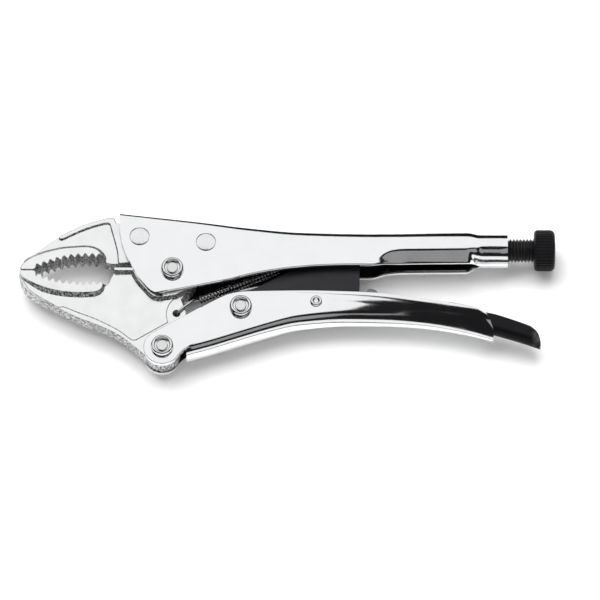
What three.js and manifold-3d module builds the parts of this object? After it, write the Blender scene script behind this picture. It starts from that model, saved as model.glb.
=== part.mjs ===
// Locking pliers, 10 inch pattern with a curved jaw, lying closed on one side.
//
// Millimetres. The pliers lie flat: +X runs from the jaw tips to the adjusting knob,
// +Y points from the lower handle towards the fixed handle, +Z is up, across the plates.
// The outlines below are drawn with X = 0 at the jaw tips, Y = 0 on the adjusting screw's
// axis and Z = 0 on the middle plane. The group is shifted at the end so that the middle of
// the bottom of the whole object's box is the origin.
import * as THREE from 'three';
import { mergeVertices } from 'three/addons/utils/BufferGeometryUtils.js';
import Module from 'manifold-3d';

const wasm = await Module();
wasm.setup();

// ---- driving sizes ---------------------------------------------------------------------

const SHEET = 2.3;               // thickness of the pressed handle sheet
const GAP = 0.3;                 // clearance between neighbouring pieces
const RUNNING = 0.15;            // radial clearance of a pin in its bore

const FIXED_HALF = 8.75;         // half of the fixed handle's outer width
const LOWER_HALF = 6.2;          // half of the lower handle's outer width
const HUB_HALF = FIXED_HALF - SHEET - GAP;      // what fills the fixed handle
const WEB_HALF = LOWER_HALF - SHEET - GAP;      // what fills the lower handle
const BOSS_HALF = 5.35;          // half thickness of the toothed part of each jaw
const FACE_HALF = 3.9;           // half thickness of the lower jaw's broad face
const RIM_HALF = 4.4;            // half thickness of the fixed jaw's raised rim
const PANEL_HALF = 3.4;          // half thickness of the fixed jaw's sunk panel

const SCREW_RADIUS = 5.3;
const SCREW_CLEARANCE = 0.55;    // between the thread's crests and the handle's tube
const TUBE_RADIUS = SCREW_RADIUS + SCREW_CLEARANCE + SHEET;   // closed rear end of the handle
const TUBE_START = 206.5;
const TUBE_END = 218.5;
const SCREW_PITCH = 1.5;
const SCREW_TIP = 162.2;
const SCREW_NECK = 10;           // tapered tip of the screw
const KNOB_RADIUS = 9.25;
const KNOB_LENGTH = 9.5;
const KNOB_STANDOFF = 12;        // visible thread between tube and knob
const KNOB_RIBS = 24;
const RIB_DEPTH = 0.45;

const MAIN_PIVOT = [68.5, -13.2];
const HANDLE_PIVOT = [64.2, -50.2];
const LINK_PIVOT = [99.1, -30.7];
const LEVER_PIVOT = [132.7, -27.8];
const LINK_END = [153, 0];
const SPRING_HOLE = [70.4, -32.7];
const FRONT_RIVET = [53.7, 3.0];
const REAR_RIVET = [83.4, 0.2];

const PIN_RADIUS = 3;            // shank of the three main pins
const PIN_END_RADIUS = 2.3;      // reduced end of the pin inside its collar
const PIN_END_HEIGHT = 2;
const COLLAR_RADIUS = 5.1;
const COLLAR_HEIGHT = 2.6;
const COLLAR_BORE = 3.25;
const COLLAR_FLOOR = 0.9;
const RIVET_RADIUS = 4.2;        // flush rivets that hold the fixed jaw
const LEVER_PIN_RADIUS = 1.8;
const LEVER_HEAD_RADIUS = 2.6;
const LEVER_HEAD_HEIGHT = 0.8;
const SPRING_RADIUS = 2.5;
const WIRE_RADIUS = 0.5;
const SPRING_FRONT = [80.6, -24.6];
const SPRING_REAR = [116.5, -9.2];
const ANCHOR_X = 122.5;          // front face of the spring's tab in the fixed handle
const ANCHOR_BOTTOM = -7.2;

const HUB_RADIUS = 11;           // round of the lower jaw inside the fixed handle
const TOOTH_DEPTH = 1.7;
const TOOTH_COUNT = 10;
const BITE_Y = -11.9;            // where the two jaws meet
const ROUND = 32;                // facets of a pin or a bore
const COLLAR_FACETS = 24;

// ---- materials -------------------------------------------------------------------------

const finish = (color, roughness, metalness) =>
  new THREE.MeshStandardMaterial({ color, roughness, metalness });
const PLATED = finish(0xd9dbdc, 0.22, 1);
const FORGED = finish(0xc9cccd, 0.34, 1);
const STEEL = finish(0xb9bcbe, 0.3, 1);
const BLACKED = finish(0x222427, 0.45, 0.7);

// ---- solids ----------------------------------------------------------------------------

function solid(geometry) {
  geometry.deleteAttribute('normal');
  geometry.deleteAttribute('uv');
  const merged = mergeVertices(geometry, 1e-5);
  const triVerts = new Uint32Array(merged.index.array);
  const vertProperties = new Float32Array(merged.attributes.position.array);
  return new wasm.Manifold(new wasm.Mesh({ numProp: 3, vertProperties, triVerts }));
}

function mesh(name, body, material) {
  const raw = body.getMesh();
  const geometry = new THREE.BufferGeometry();
  geometry.setAttribute('position', new THREE.BufferAttribute(raw.vertProperties, 3));
  geometry.setIndex(new THREE.BufferAttribute(raw.triVerts, 1));
  geometry.computeVertexNormals();
  const piece = new THREE.Mesh(geometry, material);
  piece.name = name;
  return piece;
}

// A flat plate of the given outline, between two heights.
function slab(shape, low, high, curveSegments = 8) {
  const geometry = new THREE.ExtrudeGeometry(shape, {
    depth: high - low, bevelEnabled: false, curveSegments,
  });
  geometry.translate(0, 0, low);
  return solid(geometry);
}

const bothSides = (shape, half) => slab(shape, -half, half);

// An upright cylinder.
function rod([x, y], radius, low, high) {
  const geometry = new THREE.CylinderGeometry(radius, radius, high - low, ROUND);
  geometry.rotateX(Math.PI / 2);
  geometry.translate(x, y, (low + high) / 2);
  return solid(geometry);
}

// A turned piece: profile points are [radius, height], about an upright axis.
function turned([x, y], profile, facets = ROUND) {
  const points = profile.map(([radius, height]) => new THREE.Vector2(radius, height));
  const geometry = new THREE.LatheGeometry(points, facets);
  geometry.rotateX(Math.PI / 2);
  geometry.translate(x, y, 0);
  return solid(geometry);
}

// A straight round bar between two points.
function bar(from, to, radius, facets = 12) {
  const start = new THREE.Vector3(...from);
  const end = new THREE.Vector3(...to);
  const along = end.clone().sub(start);
  const geometry = new THREE.CylinderGeometry(radius, radius, along.length(), facets);
  const up = new THREE.Vector3(0, 1, 0);
  geometry.applyQuaternion(new THREE.Quaternion().setFromUnitVectors(up, along.normalize()));
  geometry.translate(...start.add(end).multiplyScalar(0.5).toArray());
  return solid(geometry);
}

const vectors = (points) => points.map(([x, y]) => new THREE.Vector2(x, y));

// Points on a smooth curve through the given ones.
const smooth = (points, count) => new THREE.SplineCurve(vectors(points)).getSpacedPoints(count);

// ---- pressed channels ------------------------------------------------------------------

const CORNER_STEPS = 4;
const KNEE_STEPS = 3;
const LEAST_LIP = 0.05;
const SECTION_FLAT = 0.05;       // least half width of flat spine between two corners
// The last stretch of a side wall has a length and turns in by sweep degrees. It turns in over
// the share of its length named knee, and runs on straight from there.
const STRAIGHT = { length: 2.8, sweep: 0.4, knee: 1 };

// One half of a channel's outline at one station, from the middle of the spine to the lip,
// as [z, y]. inset moves it inwards, for the inner surface of the sheet.
function halfSection({ spine, half, corner, side, length, sweep, knee }, inset) {
  const outerRadius = Math.min(corner, half - SECTION_FLAT);
  const radius = Math.max(outerRadius - inset, 0.3);
  const points = [[0, spine - inset]];
  for (let step = 0; step <= CORNER_STEPS; step += 1) {
    const angle = (Math.PI / 2) * (1 - step / CORNER_STEPS);
    points.push([
      half - inset - radius + radius * Math.cos(angle),
      spine - inset - radius + radius * Math.sin(angle),
    ]);
  }
  const turn = THREE.MathUtils.degToRad(sweep);
  const bend = (knee * length) / turn;
  for (let step = 0; step <= KNEE_STEPS; step += 1) {
    const angle = (turn * step) / KNEE_STEPS;
    points.push([
      half - bend + (bend - inset) * Math.cos(angle),
      side - (bend - inset) * Math.sin(angle),
    ]);
  }
  const straight = Math.max((1 - knee) * length, LEAST_LIP);
  const [z, y] = points[points.length - 1];
  points.push([z - straight * Math.sin(turn), y - straight * Math.cos(turn)]);
  return points;
}

function fullSection(station, inset) {
  const right = halfSection(station, inset);
  const left = right.slice(1).map(([z, y]) => [-z, y]).reverse();
  return [...left, ...right];
}

const STATION_SIZES = ['spine', 'half', 'corner', 'side', 'length', 'sweep', 'knee'];

// Stations at even steps, on smooth curves through the ones given.
function evenStations(keys, count) {
  const values = keys.flatMap((key) => STATION_SIZES.map((size) => key[size]));
  const curve = new THREE.CubicInterpolant(keys.map((key) => key.x), values, STATION_SIZES.length);
  const first = keys[0].x;
  const last = keys[keys.length - 1].x;
  return Array.from({ length: count + 1 }, (_, index) => {
    const x = first + ((last - first) * index) / count;
    const row = [...curve.evaluate(x)];
    return { x, ...Object.fromEntries(STATION_SIZES.map((size, place) => [size, row[place]])) };
  });
}

// A sheet channel along X with its spine towards +Y, or towards -Y when facing is -1.
function channel(keys, count, wall, facing = 1) {
  const stations = evenStations(keys, count);
  const positions = [];
  const rings = stations.map((station) => {
    const outer = fullSection(station, 0);
    const inner = fullSection(station, wall).reverse();
    return [...outer, ...inner].map(([z, y]) => {
      positions.push(station.x, facing * y, z);
      return positions.length / 3 - 1;
    });
  });
  const triangles = [];
  const quad = (a, b, c, d) => {
    if (facing > 0) triangles.push(a, b, c, a, c, d);
    else triangles.push(c, b, a, d, c, a);
  };
  const size = rings[0].length;
  for (let place = 0; place < rings.length - 1; place += 1) {
    for (let point = 0; point < size; point += 1) {
      const next = (point + 1) % size;
      quad(rings[place][point], rings[place][next], rings[place + 1][next], rings[place + 1][point]);
    }
  }
  const first = rings[0];
  const last = rings[rings.length - 1];
  for (let point = 0; point < size / 2 - 1; point += 1) {
    const facingPoint = size - 1 - point;
    quad(first[point + 1], first[point], first[facingPoint], first[facingPoint - 1]);
    quad(last[point], last[point + 1], last[facingPoint - 1], last[facingPoint]);
  }
  const geometry = new THREE.BufferGeometry();
  geometry.setAttribute('position', new THREE.Float32BufferAttribute(positions, 3));
  geometry.setIndex(triangles);
  return solid(geometry);
}

// ---- fixed handle ----------------------------------------------------------------------

const OVER_SCREW = SCREW_RADIUS + GAP + SHEET;          // lowest spine that clears the screw
const REAR_HALF = Math.max(FIXED_HALF, TUBE_RADIUS);
const LIP = { length: 7.6, sweep: 26, knee: 0.3 };      // walls turned in under the rear half
const SEAM_SWEEP = 87;
const SEAM = {                                          // walls that close to a tube
  spine: TUBE_RADIUS, half: TUBE_RADIUS, corner: TUBE_RADIUS, side: 0,
  length: TUBE_RADIUS * THREE.MathUtils.degToRad(SEAM_SWEEP), sweep: SEAM_SWEEP, knee: 1,
};

const FRONT_STATIONS = [
  { x: 38, spine: 16.5, half: FIXED_HALF, corner: 2.6, side: -22, ...STRAIGHT },
  { x: 60, spine: 14.1, half: FIXED_HALF, corner: 2.8, side: -24, ...STRAIGHT },
  { x: 81, spine: 12.0, half: FIXED_HALF, corner: 3.0, side: -21, ...STRAIGHT },
  { x: 103, spine: 9.7, half: FIXED_HALF, corner: 3.5, side: -15, ...STRAIGHT },
  { x: 125.5, spine: 8.1, half: FIXED_HALF, corner: 4.1, side: -10.5, ...STRAIGHT },
];
const MIDDLE_STATIONS = [
  FRONT_STATIONS[FRONT_STATIONS.length - 1],
  { x: 148, spine: OVER_SCREW - 0.1, half: FIXED_HALF, corner: 5.0, side: -9.2, ...STRAIGHT },
  { x: 157, spine: OVER_SCREW - 0.1, half: FIXED_HALF, corner: 5.5, side: -8.0, length: 3.6,
    sweep: 4, knee: 0.8 },
  { x: 163, spine: OVER_SCREW, half: REAR_HALF, corner: 6.0, side: -4.4, length: 5.8,
    sweep: 18, knee: 0.4 },
  { x: 169, spine: OVER_SCREW + 0.1, half: REAR_HALF, corner: 6.4, side: -2.6, ...LIP },
  { x: 182, spine: OVER_SCREW + 0.6, half: REAR_HALF, corner: 7.4, side: -2.4, ...LIP },
  { x: 197, spine: OVER_SCREW + 1.3, half: REAR_HALF, corner: 8.6, side: -2.3, ...LIP },
];
const CLOSING_STATIONS = [
  MIDDLE_STATIONS[MIDDLE_STATIONS.length - 1],
  { x: 202, spine: OVER_SCREW + 0.8, half: (REAR_HALF + TUBE_RADIUS) / 2 + 0.15, corner: 8.55,
    side: -1.2, length: 9.8, sweep: 62, knee: 0.7 },
  { x: TUBE_START, ...SEAM },
];
const TUBE_STATIONS = [{ x: TUBE_START, ...SEAM }, { x: TUBE_END, ...SEAM }];

const FIXED_FRONT = [[44.7, 20], [44.7, 9], [45.1, 4], [46.5, -2], [49.6, -9.8], [53.4, -17.2],
  [57.6, -22.2]];
const FIXED_BOTTOM = [[64.2, -25.15], [75.4, -23.1], [89.7, -19.6], [103.9, -15.6],
  [113.6, -13.7], [123.2, -12.4], [137, -11.3], [150, -11], [157.2, -11.1]];

function fixedHandleOutline() {
  const shape = new THREE.Shape();
  shape.moveTo(FIXED_FRONT[0][0], FIXED_FRONT[0][1]);
  shape.lineTo(FIXED_FRONT[1][0], FIXED_FRONT[1][1]);
  shape.splineThru(vectors(FIXED_FRONT.slice(2)));
  shape.quadraticCurveTo(60, -25.2, FIXED_BOTTOM[0][0], FIXED_BOTTOM[0][1]);
  shape.splineThru(vectors(FIXED_BOTTOM.slice(1)));
  shape.lineTo(164, -13);
  shape.lineTo(TUBE_END, -13);
  shape.lineTo(TUBE_END, FIXED_FRONT[0][1]);
  shape.closePath();
  return shape;
}

function springTab() {
  const tab = new THREE.Shape();
  tab.moveTo(ANCHOR_X, ANCHOR_BOTTOM);
  tab.lineTo(ANCHOR_X + SHEET, ANCHOR_BOTTOM);
  tab.lineTo(ANCHOR_X + SHEET, 6.8);
  tab.lineTo(ANCHOR_X, 6.8);
  tab.closePath();
  const hole = bar([ANCHOR_X - 2, -4.6, 0], [ANCHOR_X + SHEET + 2, -4.6, 0], WIRE_RADIUS + 2 * GAP);
  return bothSides(tab, SPRING_RADIUS).subtract(hole);
}

function fixedHandle() {
  const front = channel(FRONT_STATIONS, 6, SHEET);
  const middle = channel(MIDDLE_STATIONS, 9, SHEET);
  const closing = channel(CLOSING_STATIONS, 5, SHEET);
  const tube = channel(TUBE_STATIONS, 1, SHEET);
  const outline = bothSides(fixedHandleOutline(), REAR_HALF + 1);
  let body = front.add(middle).add(closing).add(tube).intersect(outline).add(springTab());
  body = body.subtract(rod(MAIN_PIVOT, PIN_RADIUS + RUNNING, -20, 20));
  for (const place of [FRONT_RIVET, REAR_RIVET]) {
    body = body.subtract(rod(place, RIVET_RADIUS + RUNNING, -20, 20));
  }
  return body;
}

// ---- jaws ------------------------------------------------------------------------------

// Saw teeth along a curve of tips; each root is set back from the curve by the depth.
function teeth(curvePoints, backwards) {
  const tips = smooth(curvePoints, TOOTH_COUNT);
  const outline = [];
  for (let place = 0; place < TOOTH_COUNT; place += 1) {
    const middle = tips[place].clone().add(tips[place + 1]).multiplyScalar(0.5);
    const along = tips[place + 1].clone().sub(tips[place]).normalize();
    const normal = new THREE.Vector2(-along.y, along.x).multiplyScalar(backwards * TOOTH_DEPTH);
    outline.push(tips[place], middle.add(normal));
  }
  outline.push(tips[TOOTH_COUNT]);
  return outline;
}

const UPPER_TIPS = [[7, -11.3], [15, -8.3], [22, -6.4], [30, -5.7], [37.2, -6]];
const LOWER_TIPS = [[7, -12.6], [13, -15.3], [20, -17], [28, -17.6], [36.4, -17.4]];
const UPPER_BACK = [[1.6, -8.6], [9.3, -1.1], [17.1, 4.8], [28.9, 11], [38.4, 14.1]];

function addPoints(shape, points) {
  points.forEach((point) => shape.lineTo(point.x, point.y));
}

// The fixed jaw's visible outline, from the tip over the back to the tang and the teeth.
function fixedJawOutline() {
  const shape = new THREE.Shape();
  const bite = BITE_Y + GAP / 2;
  shape.moveTo(0.6, bite);
  shape.quadraticCurveTo(-0.3, -10.2, UPPER_BACK[0][0], UPPER_BACK[0][1]);
  shape.splineThru(vectors(UPPER_BACK.slice(1)));
  shape.quadraticCurveTo(42, 14.9, 42.4, 13.6);
  shape.lineTo(43.2, 11.6);
  shape.lineTo(46, 11.6);
  shape.lineTo(52, -8);
  shape.lineTo(41.8, -8.4);
  shape.quadraticCurveTo(38.6, -8.4, 37.2, -6);
  addPoints(shape, teeth(UPPER_TIPS, 1).reverse());
  shape.lineTo(5.6, bite);
  shape.closePath();
  return shape;
}

// The toothed boss: along the bite, up to a line that runs behind the teeth.
function upperBossOutline() {
  const shape = new THREE.Shape();
  const bite = BITE_Y + GAP / 2;
  shape.moveTo(0.6, bite);
  shape.quadraticCurveTo(-0.3, -10.2, 1.6, -8.6);
  shape.splineThru(vectors([[4.9, -5.8], [11, -3.2], [19, -1.1], [28, -0.3]]));
  shape.quadraticCurveTo(36.6, 0.2, 38, -7);
  shape.lineTo(37.2, -6);
  addPoints(shape, teeth(UPPER_TIPS, 1).reverse());
  shape.lineTo(5.6, bite);
  shape.closePath();
  return shape;
}

// Where the fixed jaw's rim is raised: the rear half of its back, and down beside the handle.
function upperRimRegion() {
  const shape = new THREE.Shape();
  shape.moveTo(16, 20);
  shape.lineTo(17, 5.4);
  shape.quadraticCurveTo(17.4, 2.7, 20.2, 4.1);
  shape.splineThru(vectors([[22.5, 5.4], [29.6, 8.8], [36, 11]]));
  shape.quadraticCurveTo(39, 12, 40.2, 11.2);
  shape.splineThru(vectors([[41.6, 6], [43.6, -2], [44.2, -8.4]]));
  shape.lineTo(53, -8.4);
  shape.lineTo(53, 20);
  shape.closePath();
  return shape;
}

// The thick tang between the plates, clear of the lower jaw's hub.
function tangOutline() {
  const shape = new THREE.Shape();
  const clear = HUB_RADIUS + 2 * GAP;
  const [x, y] = MAIN_PIVOT;
  shape.moveTo(46, 12.6);
  shape.lineTo(90, 7.9);
  shape.lineTo(90, -7);
  shape.lineTo(x + clear * Math.cos(0.55), y + clear * Math.sin(0.55));
  shape.absarc(x, y, clear, 0.55, 2.65, false);
  shape.lineTo(51.6, -8);
  shape.lineTo(49.4, -8);
  shape.splineThru(vectors([[46.9, -1], [45.6, 4.6], [45.3, 9]]));
  shape.closePath();
  return shape;
}

function fixedJaw() {
  const region = bothSides(upperRimRegion(), RIM_HALF);
  let body = bothSides(fixedJawOutline(), PANEL_HALF);
  body = body.add(bothSides(fixedJawOutline(), RIM_HALF).intersect(region));
  body = body.add(bothSides(upperBossOutline(), BOSS_HALF));
  body = body.add(bothSides(tangOutline(), HUB_HALF));
  for (const place of [FRONT_RIVET, REAR_RIVET]) {
    body = body.subtract(rod(place, RIVET_RADIUS + RUNNING, -20, 20));
  }
  return body;
}

const CHIN = [[0.3, -16], [4, -21.9], [13.6, -28], [26, -34.7], [35, -38.4], [44, -43],
  [51.5, -48.8], [57.6, -54.6]];
const TONGUE_TOP = -11;           // where the lower jaw ends behind the throat
const TONGUE_BOTTOM = -12.7;
const HUB_END = Math.PI - Math.asin((TONGUE_TOP - MAIN_PIVOT[1]) / HUB_RADIUS);
const TAB_RADIUS = 7.8;
const LUG_RADIUS = 4.4;

function lowerJawOutline() {
  const shape = new THREE.Shape();
  const bite = BITE_Y - GAP / 2;
  const [x, y] = HANDLE_PIVOT;
  shape.moveTo(0.4, bite);
  shape.lineTo(0, -13.2);
  shape.splineThru(vectors(CHIN));
  shape.absarc(x, y, TAB_RADIUS, -2.2, 0.1, false);
  shape.lineTo(SPRING_HOLE[0] + LUG_RADIUS, SPRING_HOLE[1] - 3);
  shape.absarc(SPRING_HOLE[0], SPRING_HOLE[1], LUG_RADIUS, -0.4, 0.35, false);
  shape.lineTo(72.6, -26);
  shape.absarc(MAIN_PIVOT[0], MAIN_PIVOT[1], HUB_RADIUS, -0.9, HUB_END, false);
  shape.lineTo(43, TONGUE_TOP);
  shape.quadraticCurveTo(42, TONGUE_TOP, 42.1, -12.2);
  shape.lineTo(40.6, -16.4);
  shape.quadraticCurveTo(39.8, -18.8, 38.4, -19.4);
  shape.quadraticCurveTo(37.2, -19.4, 36.4, -17.4);
  addPoints(shape, teeth(LOWER_TIPS, -1).reverse());
  shape.lineTo(5.6, bite);
  shape.closePath();
  return shape;
}

function lowerBossOutline() {
  const shape = new THREE.Shape();
  const bite = BITE_Y - GAP / 2;
  shape.moveTo(0.4, bite);
  shape.lineTo(0, -13.2);
  shape.splineThru(vectors([[1.2, -15.4], [4.7, -17.6], [11, -20.5], [18, -22.4], [26, -23.2],
    [33, -23]]));
  shape.quadraticCurveTo(37.4, -22.6, 37.6, -18.8);
  shape.lineTo(36.4, -17.4);
  addPoints(shape, teeth(LOWER_TIPS, -1).reverse());
  shape.lineTo(5.6, bite);
  shape.closePath();
  return shape;
}

// The thick hub that turns between the plates, with a tongue below the fixed jaw. Its front
// just shows along the fixed handle's edge.
function hubOutline() {
  const shape = new THREE.Shape();
  shape.moveTo(43, TONGUE_TOP);
  shape.quadraticCurveTo(42.2, TONGUE_TOP, 42.2, TONGUE_BOTTOM + 0.5);
  shape.lineTo(42.6, TONGUE_BOTTOM);
  shape.lineTo(50.5, TONGUE_BOTTOM);
  shape.splineThru(vectors([[53, -17.4], [57.2, -22.6], [60.2, -25.4], [64.3, -25.7],
    [70.4, -24.6]]));
  shape.absarc(MAIN_PIVOT[0], MAIN_PIVOT[1], HUB_RADIUS, -1.25, HUB_END, false);
  shape.closePath();
  return shape;
}

// The broad raised face between the teeth, the rim below, the lug and the lower handle.
function faceOutline() {
  const shape = new THREE.Shape();
  shape.moveTo(1.2, -15.8);
  shape.splineThru(vectors([[4.6, -21.4], [10, -25.2], [16.9, -29.4]]));
  shape.quadraticCurveTo(18.4, -30.2, 19.6, -29.5);
  shape.splineThru(vectors([[22, -30.4], [26, -32.2], [35, -35.9], [44, -40.8], [49.6, -45.2]]));
  shape.quadraticCurveTo(51.4, -46.8, 53.6, -45.2);
  shape.lineTo(66.6, -37.2);
  shape.splineThru(vectors([[66, -32.4], [67.8, -27.4], [71.6, -23.9]]));
  shape.lineTo(60, TONGUE_BOTTOM);
  shape.lineTo(42.2, TONGUE_BOTTOM);
  shape.lineTo(40.6, -16.4);
  shape.quadraticCurveTo(39.8, -18.8, 38.4, -19.4);
  shape.lineTo(30, -18.6);
  shape.lineTo(14, -16.8);
  shape.lineTo(5, -13.6);
  shape.closePath();
  return shape;
}

function lowerJaw() {
  let body = bothSides(lowerJawOutline(), WEB_HALF);
  body = body.add(bothSides(faceOutline(), FACE_HALF));
  body = body.add(bothSides(lowerBossOutline(), BOSS_HALF));
  body = body.add(bothSides(hubOutline(), HUB_HALF));
  body = body.subtract(rod(MAIN_PIVOT, PIN_RADIUS + RUNNING, -20, 20));
  body = body.subtract(rod(HANDLE_PIVOT, PIN_RADIUS + RUNNING, -20, 20));
  return body.subtract(rod(SPRING_HOLE, 1.8, -20, 20));
}

// ---- lower handle, link and release lever ------------------------------------------------

const EAR_RADIUS = 8.3;
// Sizes of the lower handle and the lever are given with Y reversed, as their spines face -Y.
const FLARED = { length: 9, sweep: -13, knee: 0.15 };   // walls that spread towards their edges
const LOWER_STATIONS = [
  { x: 75, spine: 54.2, half: LOWER_HALF, corner: 3.5, side: 29, ...STRAIGHT },
  { x: 94.2, spine: 48.3, half: LOWER_HALF, corner: 3.5, side: 20, ...STRAIGHT },
  { x: 112, spine: 42.6, half: LOWER_HALF, corner: 3.5, side: 18, ...STRAIGHT },
  { x: 125.5, spine: 39.2, half: LOWER_HALF, corner: 3.6, side: 18, ...STRAIGHT },
  { x: 147.8, spine: 37.3, half: LOWER_HALF, corner: 4.2, side: 28, ...FLARED, sweep: -0.5 },
  { x: 165, spine: 37.4, half: LOWER_HALF, corner: LOWER_HALF, side: 30, ...FLARED, sweep: -6 },
  { x: 180, spine: 38.4, half: LOWER_HALF, corner: LOWER_HALF, side: 31.5, ...FLARED },
  { x: 197, spine: 41.1, half: LOWER_HALF, corner: LOWER_HALF, side: 34.2, ...FLARED },
  { x: 214, spine: 45.5, half: LOWER_HALF, corner: LOWER_HALF, side: 38.6, ...FLARED },
];
const LOWER_TOP = [[80.7, -30.8], [94.2, -23.5], [103.1, -22.5], [125.5, -22.3], [147.8, -22.9],
  [161.3, -23.7], [179.1, -26.3], [197, -29.4], [203.7, -31.1]];
const LOWER_BACK = [[206.7, -32.6], [208.9, -34.6], [210.6, -38.5], [212, -43], [211.6, -50]];

function lowerHandleOutline() {
  const shape = new THREE.Shape();
  shape.moveTo(74, -60);
  shape.lineTo(74, -34.6);
  shape.lineTo(LOWER_TOP[0][0], LOWER_TOP[0][1]);
  shape.splineThru(vectors(LOWER_TOP.slice(1)));
  shape.splineThru(vectors(LOWER_BACK));
  shape.lineTo(211.6, -60);
  shape.closePath();
  return shape;
}

function earOutline() {
  const shape = new THREE.Shape();
  const [x, y] = HANDLE_PIVOT;
  shape.moveTo(80.7, -30.8);
  shape.absarc(x, y, EAR_RADIUS, 2.09, 5.5, false);
  shape.quadraticCurveTo(72.4, -53.4, 76.5, -51);
  shape.lineTo(80.7, -48.6);
  shape.closePath();
  return shape;
}

function lowerHandle() {
  const outline = bothSides(lowerHandleOutline(), 2 * LOWER_HALF);
  let body = channel(LOWER_STATIONS, 14, SHEET, -1).intersect(outline);
  for (const side of [-1, 1]) {
    const inner = side * (LOWER_HALF - SHEET);
    const outer = side * LOWER_HALF;
    body = body.add(slab(earOutline(), Math.min(inner, outer), Math.max(inner, outer), 24));
  }
  body = body.subtract(rod(HANDLE_PIVOT, PIN_RADIUS + RUNNING, -20, 20));
  body = body.subtract(rod(LINK_PIVOT, PIN_RADIUS + RUNNING, -20, 20));
  return body.subtract(rod(LEVER_PIVOT, LEVER_PIN_RADIUS + RUNNING, -20, 20));
}

const LINK_FRONT_RADIUS = 6.4;
const LINK_REAR_RADIUS = 4.6;

// Toggle link: a plate from the link pivot up to the screw's tip, with a square heel below.
function toggleLink() {
  const shape = new THREE.Shape();
  const [x, y] = LINK_PIVOT;
  const [endX, endY] = LINK_END;
  shape.absarc(x, y, LINK_FRONT_RADIUS, 2.1, 5.2, false);
  shape.quadraticCurveTo(108, -23.4, 118, -23.1);
  shape.lineTo(149.5, -23.1);
  shape.quadraticCurveTo(152, -23.1, 152, -21);
  shape.lineTo(152.4, -9);
  shape.quadraticCurveTo(153, -6.4, endX + 2.3, endY - 3.98);
  shape.absarc(endX, endY, LINK_REAR_RADIUS, -1.03, 2.1, false);
  shape.closePath();
  return bothSides(shape, WEB_HALF).subtract(rod(LINK_PIVOT, PIN_RADIUS + RUNNING, -20, 20));
}

const LEVER_HALF = WEB_HALF;
const LEVER_SHEET = 1.6;
const LEVER_NOSE = 4.2;
const LEVER_STATIONS = [
  { x: 127, spine: 32.2, half: LEVER_HALF, corner: 1.9, side: 18, ...STRAIGHT },
  { x: 150, spine: 33.1, half: LEVER_HALF, corner: 1.9, side: 18, ...STRAIGHT },
  { x: 168, spine: 34.0, half: LEVER_HALF, corner: 2.4, side: 18, ...STRAIGHT },
  { x: 184, spine: 35.2, half: LEVER_HALF, corner: 3.5, side: 20, ...STRAIGHT },
  { x: 200, spine: 38.2, half: LEVER_HALF, corner: 3.55, side: 24, ...STRAIGHT },
  { x: 214, spine: 42.2, half: LEVER_HALF, corner: 3.55, side: 28, ...STRAIGHT },
  { x: 226, spine: 46.1, half: LEVER_HALF, corner: 3.55, side: 32, ...STRAIGHT },
  { x: 234, spine: 49.2, half: LEVER_HALF, corner: 3.55, side: 36, ...STRAIGHT },
];

function leverOutline() {
  const shape = new THREE.Shape();
  const [x, y] = LEVER_PIVOT;
  shape.moveTo(x - LEVER_NOSE, -34);
  shape.lineTo(x - LEVER_NOSE, y);
  shape.absarc(x, y, LEVER_NOSE, Math.PI, Math.PI / 4, true);
  shape.quadraticCurveTo(138, -27, 143, -27);
  shape.lineTo(149, -27);
  shape.quadraticCurveTo(152.4, -26.8, 153, -23.2);
  shape.quadraticCurveTo(153.4, -20.3, 156.8, -20.2);
  shape.quadraticCurveTo(159.8, -20.2, 161.4, -23.6);
  shape.splineThru(vectors([[164.2, -26], [172, -27.4], [188, -29.6], [200, -30.6], [210.5, -32.2], [219.4, -35.2],
    [226.6, -38]]));
  shape.quadraticCurveTo(231.4, -40.4, 232.6, -45.8);
  shape.quadraticCurveTo(233.4, -49.8, 230.6, -51);
  shape.closePath();
  return shape;
}

function releaseLever() {
  const outline = bothSides(leverOutline(), LEVER_HALF + 1);
  const body = channel(LEVER_STATIONS, 11, LEVER_SHEET, -1).intersect(outline);
  return body.subtract(rod(LEVER_PIVOT, LEVER_PIN_RADIUS + RUNNING, -20, 20));
}

// ---- pins, collars and rivets ------------------------------------------------------------

// A pin whose shank fills the plates and whose reduced ends stand up inside the collars.
function pivotPin(place, half) {
  const end = half + PIN_END_HEIGHT;
  return turned(place, [[0, -end], [PIN_END_RADIUS, -end], [PIN_END_RADIUS, -half],
    [PIN_RADIUS, -half], [PIN_RADIUS, half], [PIN_END_RADIUS, half], [PIN_END_RADIUS, end], [0, end]]);
}

// A dished collar on the plate: a floor round the pin's end, and a rounded wall round a groove.
function collar(place, half, side) {
  const base = half + GAP / 2;
  const top = base + COLLAR_HEIGHT;
  const hole = PIN_END_RADIUS + RUNNING;
  const floor = base + COLLAR_FLOOR;
  const crown = (COLLAR_RADIUS + COLLAR_BORE) / 2;
  const profile = [[hole, base], [COLLAR_RADIUS, base], [COLLAR_RADIUS - 0.2, top - 0.8],
    [crown + 0.3, top], [crown - 0.5, top], [COLLAR_BORE, top - 0.6],
    [COLLAR_BORE, floor], [hole, floor], [hole, base]];
  const placed = side > 0 ? profile : profile.map(([radius, height]) => [radius, -height]).reverse();
  return turned(place, placed, COLLAR_FACETS);
}

const jawRivet = (place) => rod(place, RIVET_RADIUS, -FIXED_HALF, FIXED_HALF);

function leverRivet() {
  const base = LOWER_HALF + GAP / 3;
  const top = base + LEVER_HEAD_HEIGHT;
  const upper = [[LEVER_PIN_RADIUS, base], [LEVER_HEAD_RADIUS, base],
    [LEVER_HEAD_RADIUS, base + 0.35], [LEVER_HEAD_RADIUS - 0.45, top], [0, top]];
  const lower = upper.map(([radius, height]) => [radius, -height]).reverse();
  return turned(LEVER_PIVOT, [...lower, ...upper]);
}

// ---- adjusting screw and spring ----------------------------------------------------------

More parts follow.
